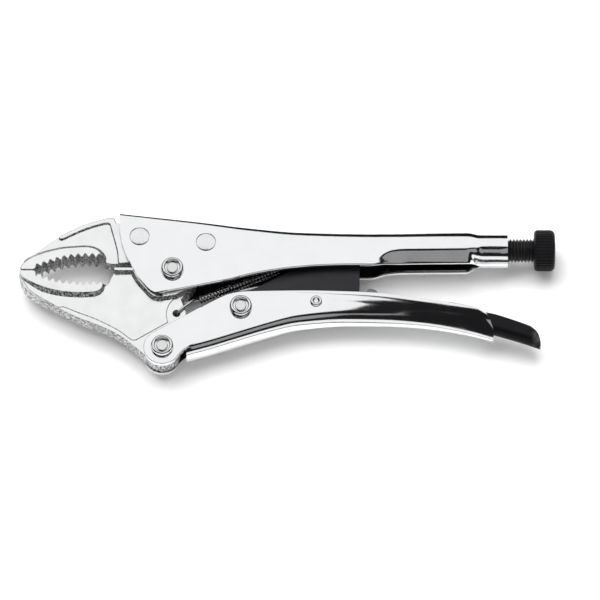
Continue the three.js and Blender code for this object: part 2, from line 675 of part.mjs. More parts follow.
const KNOB_START = TUBE_END + KNOB_STANDOFF;
const KNOB_SOCKET = KNOB_LENGTH - 2.5;

// Turns a piece made about the upright axis so that its axis lies along X.
function layAlongX(geometry) {
  geometry.rotateZ(-Math.PI / 2);
  return solid(geometry);
}

// A screw with its thread as rings where it shows, and a plain shank inside the handle.
function adjustingScrew() {
  const depth = SCREW_PITCH * 0.5;
  const profile = [[0, SCREW_TIP], [2.2, SCREW_TIP], [SCREW_RADIUS, SCREW_TIP + SCREW_NECK * 0.3]];
  const threadStart = TUBE_END - 2 * SCREW_PITCH;
  for (let x = threadStart; x < KNOB_START - SCREW_PITCH / 2; x += SCREW_PITCH) {
    profile.push([SCREW_RADIUS, x], [SCREW_RADIUS - depth, x + SCREW_PITCH / 2]);
  }
  const end = KNOB_START + KNOB_SOCKET - GAP;
  profile.push([SCREW_RADIUS - depth, KNOB_START], [SCREW_RADIUS - depth, end], [0, end]);
  const points = profile.map(([radius, x]) => new THREE.Vector2(radius, x));
  return layAlongX(new THREE.LatheGeometry(points, 24));
}

// A drum knob with straight ribs, slightly domed at its end, bored for the screw.
function adjustingKnob() {
  const ribs = new THREE.Shape();
  const step = (2 * Math.PI) / KNOB_RIBS;
  for (let rib = 0; rib < KNOB_RIBS; rib += 1) {
    for (const [share, radius] of [[0.12, 0], [0.5, 0], [0.62, RIB_DEPTH], [0.96, RIB_DEPTH]]) {
      const angle = (rib + share) * step;
      const reach = KNOB_RADIUS - radius;
      const draw = rib === 0 && share === 0.12 ? 'moveTo' : 'lineTo';
      ribs[draw](reach * Math.cos(angle), reach * Math.sin(angle));
    }
  }
  ribs.closePath();
  const drum = new THREE.ExtrudeGeometry(ribs, { depth: KNOB_LENGTH, bevelEnabled: false });
  drum.rotateY(Math.PI / 2);
  drum.translate(KNOB_START, 0, 0);
  const shell = [[0, 0], [KNOB_RADIUS - 1.2, 0], [KNOB_RADIUS - 0.3, 0.4], [KNOB_RADIUS + 0.01, 1.2],
    [KNOB_RADIUS + 0.01, KNOB_LENGTH - 2.2], [KNOB_RADIUS - 0.5, KNOB_LENGTH - 1],
    [KNOB_RADIUS - 1.7, KNOB_LENGTH - 0.3], [0, KNOB_LENGTH]];
  const points = shell.map(([radius, x]) => new THREE.Vector2(radius, KNOB_START + x));
  const body = solid(drum).intersect(layAlongX(new THREE.LatheGeometry(points, 48)));
  const socket = SCREW_RADIUS - SCREW_PITCH * 0.5 + RUNNING;
  return body.subtract(bar([KNOB_START - 1, 0, 0], [KNOB_START + KNOB_SOCKET, 0, 0], socket, 24));
}

// The return spring as the cylinder of its coils, with a hook at each end.
function returnSpring() {
  const coils = bar([...SPRING_FRONT, 0], [...SPRING_REAR, 0], SPRING_RADIUS, 16);
  const side = WEB_HALF + GAP + WIRE_RADIUS;
  const [holeX, holeY] = SPRING_HOLE;
  const [frontX, frontY] = SPRING_FRONT;
  const wires = [
    [[frontX + 1, frontY + 0.4, 1.8], [frontX - 4, frontY - 2.6, side]],
    [[frontX - 4, frontY - 2.6, side], [holeX, holeY, side]],
    [[holeX, holeY, side], [holeX, holeY, 0]],
    [[SPRING_REAR[0] - 1, SPRING_REAR[1] - 0.4, 0], [ANCHOR_X - 1, -4.9, 0]],
    [[ANCHOR_X - 1, -4.9, 0], [ANCHOR_X + SHEET + 1, -4.6, 0]],
  ];
  let body = coils;
  for (const [from, to] of wires) body = body.add(bar(from, to, WIRE_RADIUS, 8));
  return body;
}

// ---- assembly ----------------------------------------------------------------------------

const pliers = new THREE.Group();
pliers.add(
  mesh('fixed_handle', fixedHandle(), PLATED),
  mesh('fixed_jaw', fixedJaw(), FORGED),
  mesh('jaw_rivet_front', jawRivet(FRONT_RIVET), STEEL),
  mesh('jaw_rivet_rear', jawRivet(REAR_RIVET), STEEL),
  mesh('lower_jaw', lowerJaw(), FORGED),
  mesh('lower_handle', lowerHandle(), PLATED),
  mesh('toggle_link', toggleLink(), BLACKED),
  mesh('release_lever', releaseLever(), BLACKED),
  mesh('release_lever_rivet', leverRivet(), STEEL),
  mesh('adjusting_screw', adjustingScrew(), BLACKED),
  mesh('adjusting_knob', adjustingKnob(), BLACKED),
  mesh('return_spring', returnSpring(), STEEL),
);

const PIVOTS = [
  ['main_pivot', MAIN_PIVOT, FIXED_HALF],
  ['handle_pivot', HANDLE_PIVOT, LOWER_HALF],
  ['link_pivot', LINK_PIVOT, LOWER_HALF],
];
for (const [name, place, half] of PIVOTS) {
  pliers.add(
    mesh(`${name}_pin`, pivotPin(place, half), STEEL),
    mesh(`${name}_collar_top`, collar(place, half, 1), STEEL),
    mesh(`${name}_collar_bottom`, collar(place, half, -1), STEEL),
  );
}

const box = new THREE.Box3().setFromObject(pliers);
pliers.position.set(-(box.min.x + box.max.x) / 2, -(box.min.y + box.max.y) / 2, -box.min.z);
pliers.updateMatrixWorld(true);

export default pliers;
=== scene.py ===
"""Locking pliers: looks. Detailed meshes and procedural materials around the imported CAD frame.

Sizes are in millimetres in the pliers' own layout: X from the jaw tips to the knob, Y = 0 on the
adjusting screw's axis, Z = 0 on the middle plane. place() turns them into the row frame in metres.
"""
import math

import bmesh
import bpy
import numpy as np
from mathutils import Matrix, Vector


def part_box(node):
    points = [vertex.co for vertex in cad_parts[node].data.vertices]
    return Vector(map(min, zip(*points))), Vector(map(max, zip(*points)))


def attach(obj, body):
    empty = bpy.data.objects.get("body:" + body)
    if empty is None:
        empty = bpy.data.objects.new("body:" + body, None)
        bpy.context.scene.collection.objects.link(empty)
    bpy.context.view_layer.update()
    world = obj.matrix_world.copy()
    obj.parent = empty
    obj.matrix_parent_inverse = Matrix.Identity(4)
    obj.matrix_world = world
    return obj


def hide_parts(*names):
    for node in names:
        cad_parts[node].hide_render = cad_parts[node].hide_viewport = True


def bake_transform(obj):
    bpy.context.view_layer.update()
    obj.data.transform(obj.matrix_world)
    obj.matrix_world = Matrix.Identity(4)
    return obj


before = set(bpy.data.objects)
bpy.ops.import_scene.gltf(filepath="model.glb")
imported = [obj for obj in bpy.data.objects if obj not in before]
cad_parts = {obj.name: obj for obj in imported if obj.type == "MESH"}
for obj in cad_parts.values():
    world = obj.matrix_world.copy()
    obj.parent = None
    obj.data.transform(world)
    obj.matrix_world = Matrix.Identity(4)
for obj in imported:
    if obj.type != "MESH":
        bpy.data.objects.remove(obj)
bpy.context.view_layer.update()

MM = 0.001

# ---- where the layout's origin lies in the row frame ----

LENGTH = 240.0                       # from the jaw tips to the knob's end
knob_low, knob_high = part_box("adjusting_knob")
ORIGIN = np.array([
    knob_high[0] - LENGTH * MM,
    (knob_low[1] + knob_high[1]) / 2,
    (knob_low[2] + knob_high[2]) / 2,
])


def place(points):
    """Layout millimetres to row frame metres."""
    return np.asarray(points, float) * MM + ORIGIN


def half_height(node):
    """Half of a node's height across the plates, in millimetres."""
    low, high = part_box(node)
    return (high[2] - low[2]) / 2 / MM


def centre_of(node):
    """The middle of a node's box, as layout X and Y in millimetres."""
    low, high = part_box(node)
    middle = (np.array(low) + np.array(high)) / 2
    return tuple(((middle - ORIGIN) / MM)[:2])


# ---- sizes ----

SHEET = 2.3
PIN_END_HEIGHT = 2.0
FIXED_HALF = half_height("fixed_handle")
LOWER_HALF = half_height("handle_pivot_pin") - PIN_END_HEIGHT
HUB_HALF = half_height("lower_jaw")
WEB_HALF = half_height("toggle_link")
BOSS_HALF = 5.35
FACE_HALF = 3.9
RIM_HALF = 4.4
PANEL_HALF = 3.4
TUBE_RADIUS = 8.15
TUBE_START = 206.5
TUBE_END = 218.5
SCREW_RADIUS = 5.3
SCREW_PITCH = 1.5
KNOB_RADIUS = 9.25
KNOB_START = 230.5
HUB_RADIUS = 11.0
EAR_RADIUS = 8.3
TAB_RADIUS = 7.8
LUG_RADIUS = 4.4
TOOTH_DEPTH = 1.7
TOOTH_COUNT = 10
BITE_Y = -11.9
BITE_GAP = 0.3

MAIN_PIVOT = centre_of("main_pivot_pin")
HANDLE_PIVOT = centre_of("handle_pivot_pin")
LINK_PIVOT = centre_of("link_pivot_pin")
LEVER_PIVOT = centre_of("release_lever_rivet")
FRONT_RIVET = centre_of("jaw_rivet_front")
REAR_RIVET = centre_of("jaw_rivet_rear")
SPRING_HOLE = (70.4, -32.7)
SPRING_HOLE_RADIUS = 1.8
PIN_RADIUS = 3.0
RIVET_RADIUS = 4.2
RUNNING = 0.15                       # clearance round a pin or rivet, and under a collar
HOLE_CHAMFER = 0.12
BORE_REACH = 9.0                     # past both faces of the jaw
LINK_END = (153.0, 0.0)
LINK_RADIUS = 6.4                    # round the link's pivot
LINK_END_RADIUS = 4.6

# ---- material nodes ----


class Shader:
    """A material's node tree with short calls for the nodes used below. A value for a node's
    input is a number, a tuple or another node's output."""

    def __init__(self, name, **values):
        self.material = bpy.data.materials.new(name)
        self.material.use_nodes = True
        self.tree = self.material.node_tree
        self.surface = self.tree.nodes["Principled BSDF"]
        self.coords = self.tree.nodes.new("ShaderNodeTexCoord").outputs["Object"]
        self.feed(self.surface, **values)

    def put(self, socket, value):
        if isinstance(value, bpy.types.NodeSocket):
            self.tree.links.new(value, socket)
        else:
            socket.default_value = value

    def feed(self, node, **values):
        """Puts values into a node's inputs by name, with _ for a space."""
        for name, value in values.items():
            self.put(node.inputs[name.replace("_", " ")], value)

    def add(self, kind, output, **values):
        node = self.tree.nodes.new("ShaderNode" + kind)
        self.feed(node, **values)
        return node.outputs[output]

    def stretched(self, scale):
        """Object coordinates scaled by a vector, in waves per metre."""
        return self.add("Mapping", "Vector", Vector=self.coords, Scale=scale)

    def noise(self, scale, detail=4.0, rough=0.55, vector=None):
        return self.add("TexNoise", "Fac", Vector=vector or self.coords, Scale=scale,
                        Detail=detail, Roughness=rough)

    def cells(self, scale):
        return self.add("TexVoronoi", "Distance", Vector=self.coords, Scale=scale)

    def ramp(self, value, low, high, out_low, out_high):
        return self.add("MapRange", "Result", Value=value, From_Min=low, From_Max=high,
                        To_Min=out_low, To_Max=out_high)

    def math(self, kind, *values):
        node = self.tree.nodes.new("ShaderNodeMath")
        node.operation = kind
        for socket, value in zip(node.inputs, values):
            self.put(socket, value)
        return node.outputs["Value"]

    def mix(self, factor, first, second):
        """A value between two outputs."""
        return self.add("Mix", "Result", Factor=factor, A=first, B=second)

    def mix_colours(self, factor, *colours):
        """A colour between two, each an output or three numbers."""
        node = self.tree.nodes.new("ShaderNodeMix")
        node.data_type = "RGBA"
        first, second = [(*colour, 1) if isinstance(colour, tuple) else colour
                         for colour in colours]
        self.feed(node, Factor=factor, A=first, B=second)
        return node.outputs["Result"]

    def bump(self, height, strength, distance, **below):
        return self.add("Bump", "Normal", Height=height, Strength=strength, Distance=distance,
                        **below)

    def flatness(self):
        """1 on faces square to the plates' normal, 0 on their edges."""
        normal = self.add("TexCoord", "Normal")
        return self.math("ABSOLUTE", self.add("SeparateXYZ", "Z", Vector=normal))

    def finish(self, colour, **inputs):
        """The material with its colour and its other varying inputs in place."""
        self.feed(self.surface, Base_Color=colour, **inputs)
        return self.material


def plated_sheet():
    """Bright plate on pressed sheet: faint rolling waves, fine polishing lines and smears."""
    shader = Shader("plated_sheet", Metallic=1.0)
    waves = shader.noise(26, 2, 0.4)
    lines = shader.noise(1, 5, 0.7, shader.stretched((260, 5200, 5200)))
    smears = shader.noise(90, 4, 0.6)
    colour = shader.mix_colours(smears, (0.90, 0.905, 0.91), (0.82, 0.83, 0.84))
    base = shader.ramp(smears, 0.35, 0.75, 0.06, 0.13)
    rough = shader.math("ADD", base, shader.ramp(lines, 0.3, 0.7, -0.02, 0.04))
    rolled = shader.bump(waves, 0.25, 0.0012)
    brushed = shader.bump(lines, 0.05, 0.00004, Normal=rolled)
    return shader.finish(colour, Roughness=rough, Normal=brushed)


def forged_plate():
    """Bright plate on a forging: polished flats; grainy die-forged edges and walls, darkened partly
    by their grain and partly as painted shade along the forging's steps.
    """
    shader = Shader("forged_plate", Metallic=1.0)
    edge = shader.ramp(shader.flatness(), 0.86, 0.97, 1.0, 0.0)
    grain = shader.noise(1300, 5, 0.7)
    pits = shader.cells(1000)
    lines = shader.noise(1, 4, 0.7, shader.stretched((700, 3600, 3600)))
    smears = shader.noise(120, 4, 0.6)
    flat_rough = shader.ramp(smears, 0.3, 0.75, 0.13, 0.24)
    edge_rough = shader.ramp(grain, 0.35, 0.7, 0.26, 0.5)
    rough = shader.mix(edge, flat_rough, edge_rough)
    # Dark speckles on walls and edges: real grain, and painted shade along the steps.
    speckled_grain_and_shade = shader.mix_colours(shader.ramp(grain, 0.46, 0.56, 0.0, 1.0), (0.10, 0.10, 0.102),
                                  (0.90, 0.90, 0.90))
    bright = shader.mix_colours(smears, (0.90, 0.905, 0.91), (0.80, 0.805, 0.81))
    colour = shader.mix_colours(edge, bright, speckled_grain_and_shade)
    height = shader.math("ADD", grain, shader.ramp(pits, 0.0, 0.6, -0.5, 0.5))
    rough_height = shader.math("MULTIPLY", height, shader.ramp(edge, 0, 1, 0.04, 1.0))
    skin = shader.bump(rough_height, 0.9, 0.0005)
    brushed = shader.bump(lines, 0.06, 0.00004, Normal=skin)
    return shader.finish(colour, Roughness=rough, Normal=brushed)


def turned_steel(name, colour, low, high):
    """A small turned or ground piece: fine tool marks and a few dull spots."""
    shader = Shader(name, Metallic=1.0)
    spots = shader.noise(700, 4, 0.6)
    marks = shader.noise(1, 4, 0.7, shader.stretched((5200, 900, 5200)))
    dull = tuple(0.86 * part for part in colour)
    return shader.finish(shader.mix_colours(spots, colour, dull),
                         Roughness=shader.ramp(spots, 0.3, 0.75, low, high),
                         Normal=shader.bump(marks, 0.08, 0.00005))


def black_steel(name, colour, low, high, sheen, metal=0.0):
    """Blackened or coated steel: fine grain, uneven sheen, edges rubbed a little lighter."""
    shader = Shader(name, Metallic=metal, Specular_IOR_Level=sheen)
    speckle = shader.noise(1400, 5, 0.6)
    patches = shader.noise(160, 4, 0.6)
    rubbed = shader.ramp(shader.add("NewGeometry", "Pointiness"), 0.53, 0.60, 0.0, 1.0)
    worn = shader.math("MULTIPLY", rubbed, shader.ramp(patches, 0.42, 0.62, 0.0, 0.8))
    lighter = tuple(min(1.0, 3.4 * part + 0.05) for part in colour)
    return shader.finish(shader.mix_colours(worn, colour, lighter),
                         Roughness=shader.ramp(patches, 0.3, 0.75, low, high),
                         Normal=shader.bump(speckle, 0.35, 0.00006))


def floor_paint():
    """A plain pale studio floor with a very faint mottle."""
    shader = Shader("studio_floor", Roughness=0.6, Specular_IOR_Level=0.15)
    mottle = shader.noise(7, 3, 0.5)
    return shader.finish(shader.mix_colours(mottle, (0.88, 0.88, 0.882), (0.86, 0.86, 0.862)))


# ---- mesh building ----

SHARP = math.radians(32)             # edges that turn more than this stay sharp
JOINED_SHARP = math.radians(26)      # the same after a boolean
MERGE = 2e-7                         # vertices nearer than this, in metres, become one
LEAST_STEP = 0.02                    # between an outline's points
PLATE_STEPS = 4                      # rings in a plate's rounded edge
CURVE_STEPS = 24                     # points between two keys of an outline's spline


def make_object(name, vertices, faces, material, sharp=SHARP):
    """A closed mesh object from layout millimetres, smooth except at edges sharper than sharp."""
    mesh = bpy.data.meshes.new(name)
    mesh.from_pydata([tuple(point) for point in place(vertices)], [], faces)
    sharpen(mesh, sharp, outwards=True)
    mesh.materials.append(material)
    piece = bpy.data.objects.new(name, mesh)
    bpy.context.collection.objects.link(piece)
    return piece


def sharpen(mesh, sharp, outwards=False):
    """Merges a mesh's doubled vertices and marks its smooth faces and sharp edges."""
    built = bmesh.new()
    built.from_mesh(mesh)
    bmesh.ops.remove_doubles(built, verts=built.verts, dist=MERGE)
    if outwards:
        bmesh.ops.recalc_face_normals(built, faces=built.faces)
    for face in built.faces:
        face.smooth = True
    for edge in built.edges:
        edge.smooth = len(edge.link_faces) != 2 or edge.calc_face_angle(0.0) < sharp
    built.to_mesh(mesh)
    built.free()


def joined(piece, others, operation="UNION"):
    """Applies a boolean of piece with each of the others, which are used up."""
    for other in others:
        step = piece.modifiers.new("join", "BOOLEAN")
        step.operation = operation
        step.solver = "MANIFOLD"
        step.object = other
        apply_modifiers(piece)
        bpy.data.objects.remove(other)
    sharpen(piece.data, JOINED_SHARP)


def apply_modifiers(piece):
    depsgraph = bpy.context.evaluated_depsgraph_get()
    result = bpy.data.meshes.new_from_object(piece.evaluated_get(depsgraph))
    piece.modifiers.clear()
    piece.data = result


def finish_piece(piece, body, node):
    """Rides the piece on its body, in place of its CAD node."""
    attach(piece, body)
    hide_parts(node)


def smooth_path(points, steps):
    """A smooth path through the given points, with steps points from each to the next."""
    keys = np.asarray(points, float)
    ends = np.vstack([2 * keys[0] - keys[1], keys, 2 * keys[-1] - keys[-2]])
    path = []
    for at in range(len(keys) - 1):
        a, b, c, d = ends[at:at + 4]
        for t in np.linspace(0, 1, steps, endpoint=False):
            path.append(0.5 * (2 * b + (c - a) * t + (2 * a - 5 * b + 4 * c - d) * t ** 2
                               + (3 * b - a - 3 * c + d) * t ** 3))
    return np.array(path + [keys[-1]])


def spline(points, count):
    """Points at even lengths on a smooth curve through the given ones."""
    path = smooth_path(points, CURVE_STEPS)
    run = np.concatenate([[0], np.cumsum(np.linalg.norm(np.diff(path, axis=0), axis=1))])
    wanted = np.linspace(0, run[-1], count + 1)
    return np.column_stack([np.interp(wanted, run, path[:, axis]) for axis in (0, 1)])


def arc(centre, radius, start, end, count=24):
    """Points on an arc, angles in radians."""
    angles = np.linspace(start, end, count + 1)
    return np.column_stack([centre[0] + radius * np.cos(angles),
                            centre[1] + radius * np.sin(angles)])


def corner(start, control, end, count=8):
    """A rounded corner: a quadratic curve from start to end."""
    t = np.linspace(0, 1, count + 1)[:, None]
    start, control, end = (np.array(point, float) for point in (start, control, end))
    return (1 - t) ** 2 * start + 2 * t * (1 - t) * control + t ** 2 * end


class Outline:
    """A closed outline, walked point by point. Each point says how far its wall slopes out, and
    how much of the plate's edge rounding it takes."""

    def __init__(self):
        self.rows = []

    def add(self, points, slope=0.0, rounding=1.0):
        points = np.atleast_2d(np.asarray(points, float))
        slopes = np.broadcast_to(slope, len(points))
        for (x, y), out in zip(points, slopes):
            if not self.rows or math.dist(self.rows[-1][:2], (x, y)) >= LEAST_STEP:
                self.rows.append((x, y, out, rounding))
        return self

    def arrays(self):
        """Points, slopes and roundings, counter-clockwise."""
        rows = np.array(self.rows)
        if math.dist(rows[0, :2], rows[-1, :2]) < LEAST_STEP:
            rows = rows[:-1]
        x, y = rows[:, 0], rows[:, 1]
        if np.sum(x * np.roll(y, -1) - y * np.roll(x, -1)) < 0:
            rows = rows[::-1]
        return rows[:, :2], rows[:, 2], rows[:, 3]


def outward(points):
    """Unit normals that point out of a counter-clockwise outline, stretched at its corners."""
    before = points - np.roll(points, 1, axis=0)
    after = np.roll(points, -1, axis=0) - points
    before /= np.linalg.norm(before, axis=1)[:, None]
    after /= np.linalg.norm(after, axis=1)[:, None]
    first = np.column_stack([before[:, 1], -before[:, 0]])
    second = np.column_stack([after[:, 1], -after[:, 0]])
    total = first + second
    stretch = np.maximum(1 + np.sum(first * second, axis=1), 0.6)
    return total / stretch[:, None]


def plate(name, outline, half, material, edge=0.3, skirt=0.0, fall=1.5, low=None):
    """A plate with rounded edges. Where the outline says so its wall slopes out by skirt over
    the height fall below the edge. It is the same on both sides of the middle plane unless low
    gives its lower face."""
    points, slopes, roundings = outline.arrays()
    normals = outward(points)
    rings = []
    for step in range(PLATE_STEPS + 1):
        angle = math.pi / 2 * step / PLATE_STEPS
        inset = edge * (1 - math.sin(angle))
        height = half - edge * (1 - math.cos(angle))
        rings.append((height, -inset, 0.0))
    rings.append((half - edge - (fall if skirt else 0.0), 0.0, skirt))
    lower = -half if low is None else low
    if low is None:
        rings += [(-height, inset, slope) for height, inset, slope in reversed(rings)]
    else:
        rings.append((lower, 0.0, skirt))
    layers = []
    for height, inset, slope in rings:
        shift = (inset * roundings + slope * slopes)[:, None] * normals
        flat = points + shift
        layers.append(np.column_stack([flat, np.full(len(flat), height)]))
    return stacked(name, layers, material)


def side_faces(layers, closed=False):
    """The faces between rings of the same number of points, also from last to first if closed."""
    count, size = len(layers), len(layers[0])
    faces = []
    for layer in range(count if closed else count - 1):
        here, there = layer * size, (layer + 1) % count * size
        for point in range(size):
            after = (point + 1) % size
            faces.append((here + point, here + after, there + after, there + point))
    return faces


def stacked(name, layers, material, sharp=SHARP, closed=False):
    """A solid from rings of points, capped at both ends unless the last joins the first."""
    size = len(layers[0])
    faces = side_faces(layers, closed)
    if not closed:
        last = (len(layers) - 1) * size
        faces.append(tuple(range(size)))
        faces.append(tuple(range(last + size - 1, last - 1, -1)))
    return make_object(name, np.vstack(layers), faces, material, sharp)


def turned(name, centre, profile, material, facets=64):
    """A turned piece about an upright axis; profile points are (radius, height). A profile that
    ends where it starts makes a ring."""
    angles = np.linspace(0, 2 * math.pi, facets, endpoint=False)
    closed = profile[0] == profile[-1]
    layers = [np.column_stack([centre[0] + radius * np.cos(angles),
                               centre[1] + radius * np.sin(angles), np.full(facets, height)])
              for radius, height in (profile[:-1] if closed else profile)]
    return stacked(name, layers, material, closed=closed)


# ---- pressed channels ----

LIP_STEPS = 8
CORNER_STEPS = 10
WALL_STEPS = 6
KNEE_STEPS = 6
LIP_BULGE = 0.55                     # how round the raw edge of the sheet is, 1 for a half circle
LEAST_RADIUS = 0.3                   # inside the bend of the spine
ARCH_TOP, ARCH_KNEE = math.radians(5), math.radians(45)    # tilts at an arch's edge and ridge


def half_line(spine, half, fillet, low, curl, inset):
    """Half of a channel's section as (z, y), from the middle of the spine to the lip. curl says
    how long the last stretch of the wall is, how far it turns in, and over what share."""
    length, sweep, knee = curl[0], math.radians(curl[1]), curl[2]
    radius = max(min(fillet, half - 0.05) - inset, LEAST_RADIUS)
    points = [(0.0, spine - inset)]
    for step in range(CORNER_STEPS + 1):
        angle = math.pi / 2 * (1 - step / CORNER_STEPS)
        points.append((half - inset - radius + radius * math.cos(angle),
                       spine - inset - radius + radius * math.sin(angle)))
    bend, straight = knee * length / sweep, (1 - knee) * length
    side = low + bend * math.sin(sweep) + straight * math.cos(sweep)
    top = points[-1]
    for step in range(1, WALL_STEPS):
        points.append((top[0], top[1] + (side - top[1]) * step / WALL_STEPS))
    for step in range(KNEE_STEPS + 1):
        angle = sweep * step / KNEE_STEPS
        points.append((half - bend + (bend - inset) * math.cos(angle),
                       side - (bend - inset) * math.sin(angle)))
    corner_z, corner_y = points[-1]
    for step in range(1, KNEE_STEPS + 1):
        run = (straight + 0.01) * step / KNEE_STEPS
        points.append((corner_z - run * math.sin(sweep), corner_y - run * math.cos(sweep)))
    return np.array(points)


def arch_line(spine, low, half, count):
    """Half of an arched section, from the spine to its edge: long flanks and a tighter ridge."""
    start, knee = ARCH_TOP, ARCH_KNEE
    height = spine - low
    a, b = math.cos(start) - math.cos(knee), math.cos(knee)
    c, d = math.sin(knee) - math.sin(start), 1 - math.sin(knee)
    flank = (half * d - b * height) / (a * d - b * c)
    ridge = (a * height - c * half) / (a * d - b * c)
    ridge_run, flank_run = ridge * (math.pi / 2 - knee), flank * (knee - start)
    points = []
    for run in np.linspace(0, ridge_run + flank_run, count):
        tilt = math.pi / 2 - min(run, ridge_run) / ridge
        z, y = ridge * math.cos(tilt), spine - ridge * (1 - math.sin(tilt))
        if run > ridge_run:
            tilt = knee - (run - ridge_run) / flank
            z += flank * (math.cos(tilt) - math.cos(knee))
            y -= flank * (math.sin(knee) - math.sin(tilt))
        points.append((z, y))
    return np.array(points)


def channel_section(spine, half, fillet, low, curl, wall, arch=0.0):
    """A channel's closed section, spine towards +y; low is how far its raw edges reach. arch
    says how much of its outside follows an arch that spreads to ARCH_HALF at its edges."""
    bulge = wall / 2 * LIP_BULGE
    edge = low + bulge * math.cos(math.radians(curl[1]))
    outer = half_line(spine, half, fillet, edge, curl, 0.0)
    inner = half_line(spine, half, fillet, edge, curl, wall)
    if arch > 0:
        outer += arch * (arch_line(spine, edge, ARCH_HALF, len(outer)) - outer)
        depth = np.clip((inner[:, 1] - edge) / (spine - edge), 0, 1)
        inner[:, 0] += arch * (ARCH_HALF - half) * (1 - depth) ** 2 * np.sign(inner[:, 0])
    across = (outer[-1] - inner[-1]) / 2
    middle = (outer[-1] + inner[-1]) / 2
    along = outer[-1] - outer[-2]
    along *= bulge / np.linalg.norm(along)
    angles = np.pi * np.arange(1, LIP_STEPS) / LIP_STEPS
    lip = middle + np.outer(np.cos(angles), across) + np.outer(np.sin(angles), along)
    right = np.vstack([outer[1:], lip, inner[:0:-1]])
    left = right[::-1] * (-1, 1)
    return np.vstack([outer[:1], right, inner[:1], left])


def along_table(table, x):
    """Values at x from the rows of a table whose first column is x, smooth and without
    overshoot."""
    rows = np.asarray(table, float)
    spots, values = rows[:, 0], rows[:, 1:]
    spans = np.diff(spots)[:, None]
    secants = np.diff(values, axis=0) / spans
    before, after = secants[:-1], secants[1:]
    product = np.maximum(before * after, 0)
    inner = 2 * product / np.where(product > 0, before + after, 1)
    slopes = np.vstack([secants[:1], inner, secants[-1:]])
    at = int(np.clip(np.searchsorted(spots, x) - 1, 0, len(spots) - 2))
    span = spans[at]
    t = np.clip((x - spots[at]) / span, 0, 1)
    a, b = values[at], values[at + 1]
    return ((2 * t ** 3 - 3 * t ** 2 + 1) * a + (t ** 3 - 2 * t ** 2 + t) * span * slopes[at]
            + (-2 * t ** 3 + 3 * t ** 2) * b + (t ** 3 - t ** 2) * span * slopes[at + 1])


def channel_piece(name, layers, material, inside, edge=0.4):
    """A channel from its section rings, whose capped ends get rounded edges. Its inner surface gets
    the material inside, darkened to paint the shade inside the channel."""
    size = len(layers[0])
    faces = side_faces(layers)
    for base in (0, (len(layers) - 1) * size):
        for point in range(size // 2):
            quad = dict.fromkeys(
                (point, point + 1, (size - 1 - point) % size, (size - point) % size))
            if len(quad) > 2:
                faces.append(tuple(base + index for index in quad))
    piece = make_object(name, np.vstack(layers), faces, material)
    piece.data.materials.append(inside)
    reach = size // 4 + 2
    # Faces on the inner surface take the second material: painted shade inside the channel.
    for face in piece.data.polygons[:size * (len(layers) - 1)]:
        face.material_index = int(abs(face.index % size - size // 2) < reach - LIP_STEPS)
    step = piece.modifiers.new("edges", "BEVEL")
    step.width = edge * MM
    step.segments = 3
    step.limit_method = "ANGLE"
    step.angle_limit = math.radians(50)
    return piece


def spaced(*stretches):
    """Places along X: (start, end, step) for each stretch, each place once."""
    places = set()
    for start, end, step in stretches:
        count = max(1, round((end - start) / step))
        places.update(round(float(x), 4) for x in np.linspace(start, end, count + 1))
    return sorted(places)


def drawn_layer(x, spines, edges, backs, blend, end, section):
    """A section ring of a channel whose spine faces -Y. From blend to end its points move back
    more and more, until the rear end follows the table backs."""
    share = np.clip((x - blend) / (end - blend), 0, 1) ** 2
    spine, fillet = along_table(spines, x + backs[-1][1] * share)
    low, = along_table(edges, x)
    ring = section(spine, fillet, low)
    reach = np.clip((ring[:, 1] - low) / (spine - low), 0, 1)
    back = np.array([along_table(backs, part)[0] for part in reach]) * share
    return np.column_stack([x + back, -ring[:, 1], ring[:, 0]])


# ---- fixed handle ----

FRONT_X = 44.7                       # top of the fixed handle's front edge
FRONT_FOOT = 64.2                    # its foot, where the front edge meets the lower edge
FRONT_BLEND = 95.0                   # where the slant of the front has died out
FIXED_SPINE = [(44.7, 15.7, 3.0), (60, 14.1, 3.4), (81, 12.0, 4.2), (103, 9.7, 5.4),
               (125.5, 8.1, 6.4), (148, 7.8, 7.0), (157, 7.8, 7.2), (163, 7.9, 7.3),
               (169, 8.0, 7.4), (182, 8.5, 7.8), (200.5, 9.2, 8.6), (203.8, 8.7, 8.55),
               (TUBE_START, TUBE_RADIUS, TUBE_RADIUS), (TUBE_END, TUBE_RADIUS, TUBE_RADIUS)]
FIXED_WIDTH = [(44.7, FIXED_HALF), (200.5, FIXED_HALF), (203.8, 8.6), (TUBE_START, TUBE_RADIUS),
               (TUBE_END, TUBE_RADIUS)]
FIXED_LOW = [(64.2, -25.15), (75.4, -23.1), (89.7, -19.6), (103.9, -15.6), (113.6, -13.7),
             (123.2, -12.4), (137, -11.3), (150, -11.0), (157, -11.1), (160, -10.7), (163, -10.1),
             (169, -9.7), (182, -9.5), (200.5, -9.3), (203.8, -8.3), (TUBE_START, -TUBE_RADIUS),
             (TUBE_END, -TUBE_RADIUS)]
FIXED_CURL = [(44.7, 2.8, 0.4, 1), (148, 2.8, 0.4, 1), (157, 3.6, 4, 0.8), (163, 5.8, 18, 0.4),
              (169, 7.6, 26, 0.3), (200.5, 7.6, 26, 0.3), (203.8, 9.8, 62, 0.7),
              (TUBE_START, 12.38, 87, 1), (TUBE_END, 12.38, 87, 1)]
FIXED_FRONT = [(-25.15, 64.2), (-24.3, 60.2), (-22.2, 57.6), (-17.2, 53.4), (-9.8, 49.6),
               (-2, 46.5), (4, 45.1), (9, 44.7), (20, 44.7)]


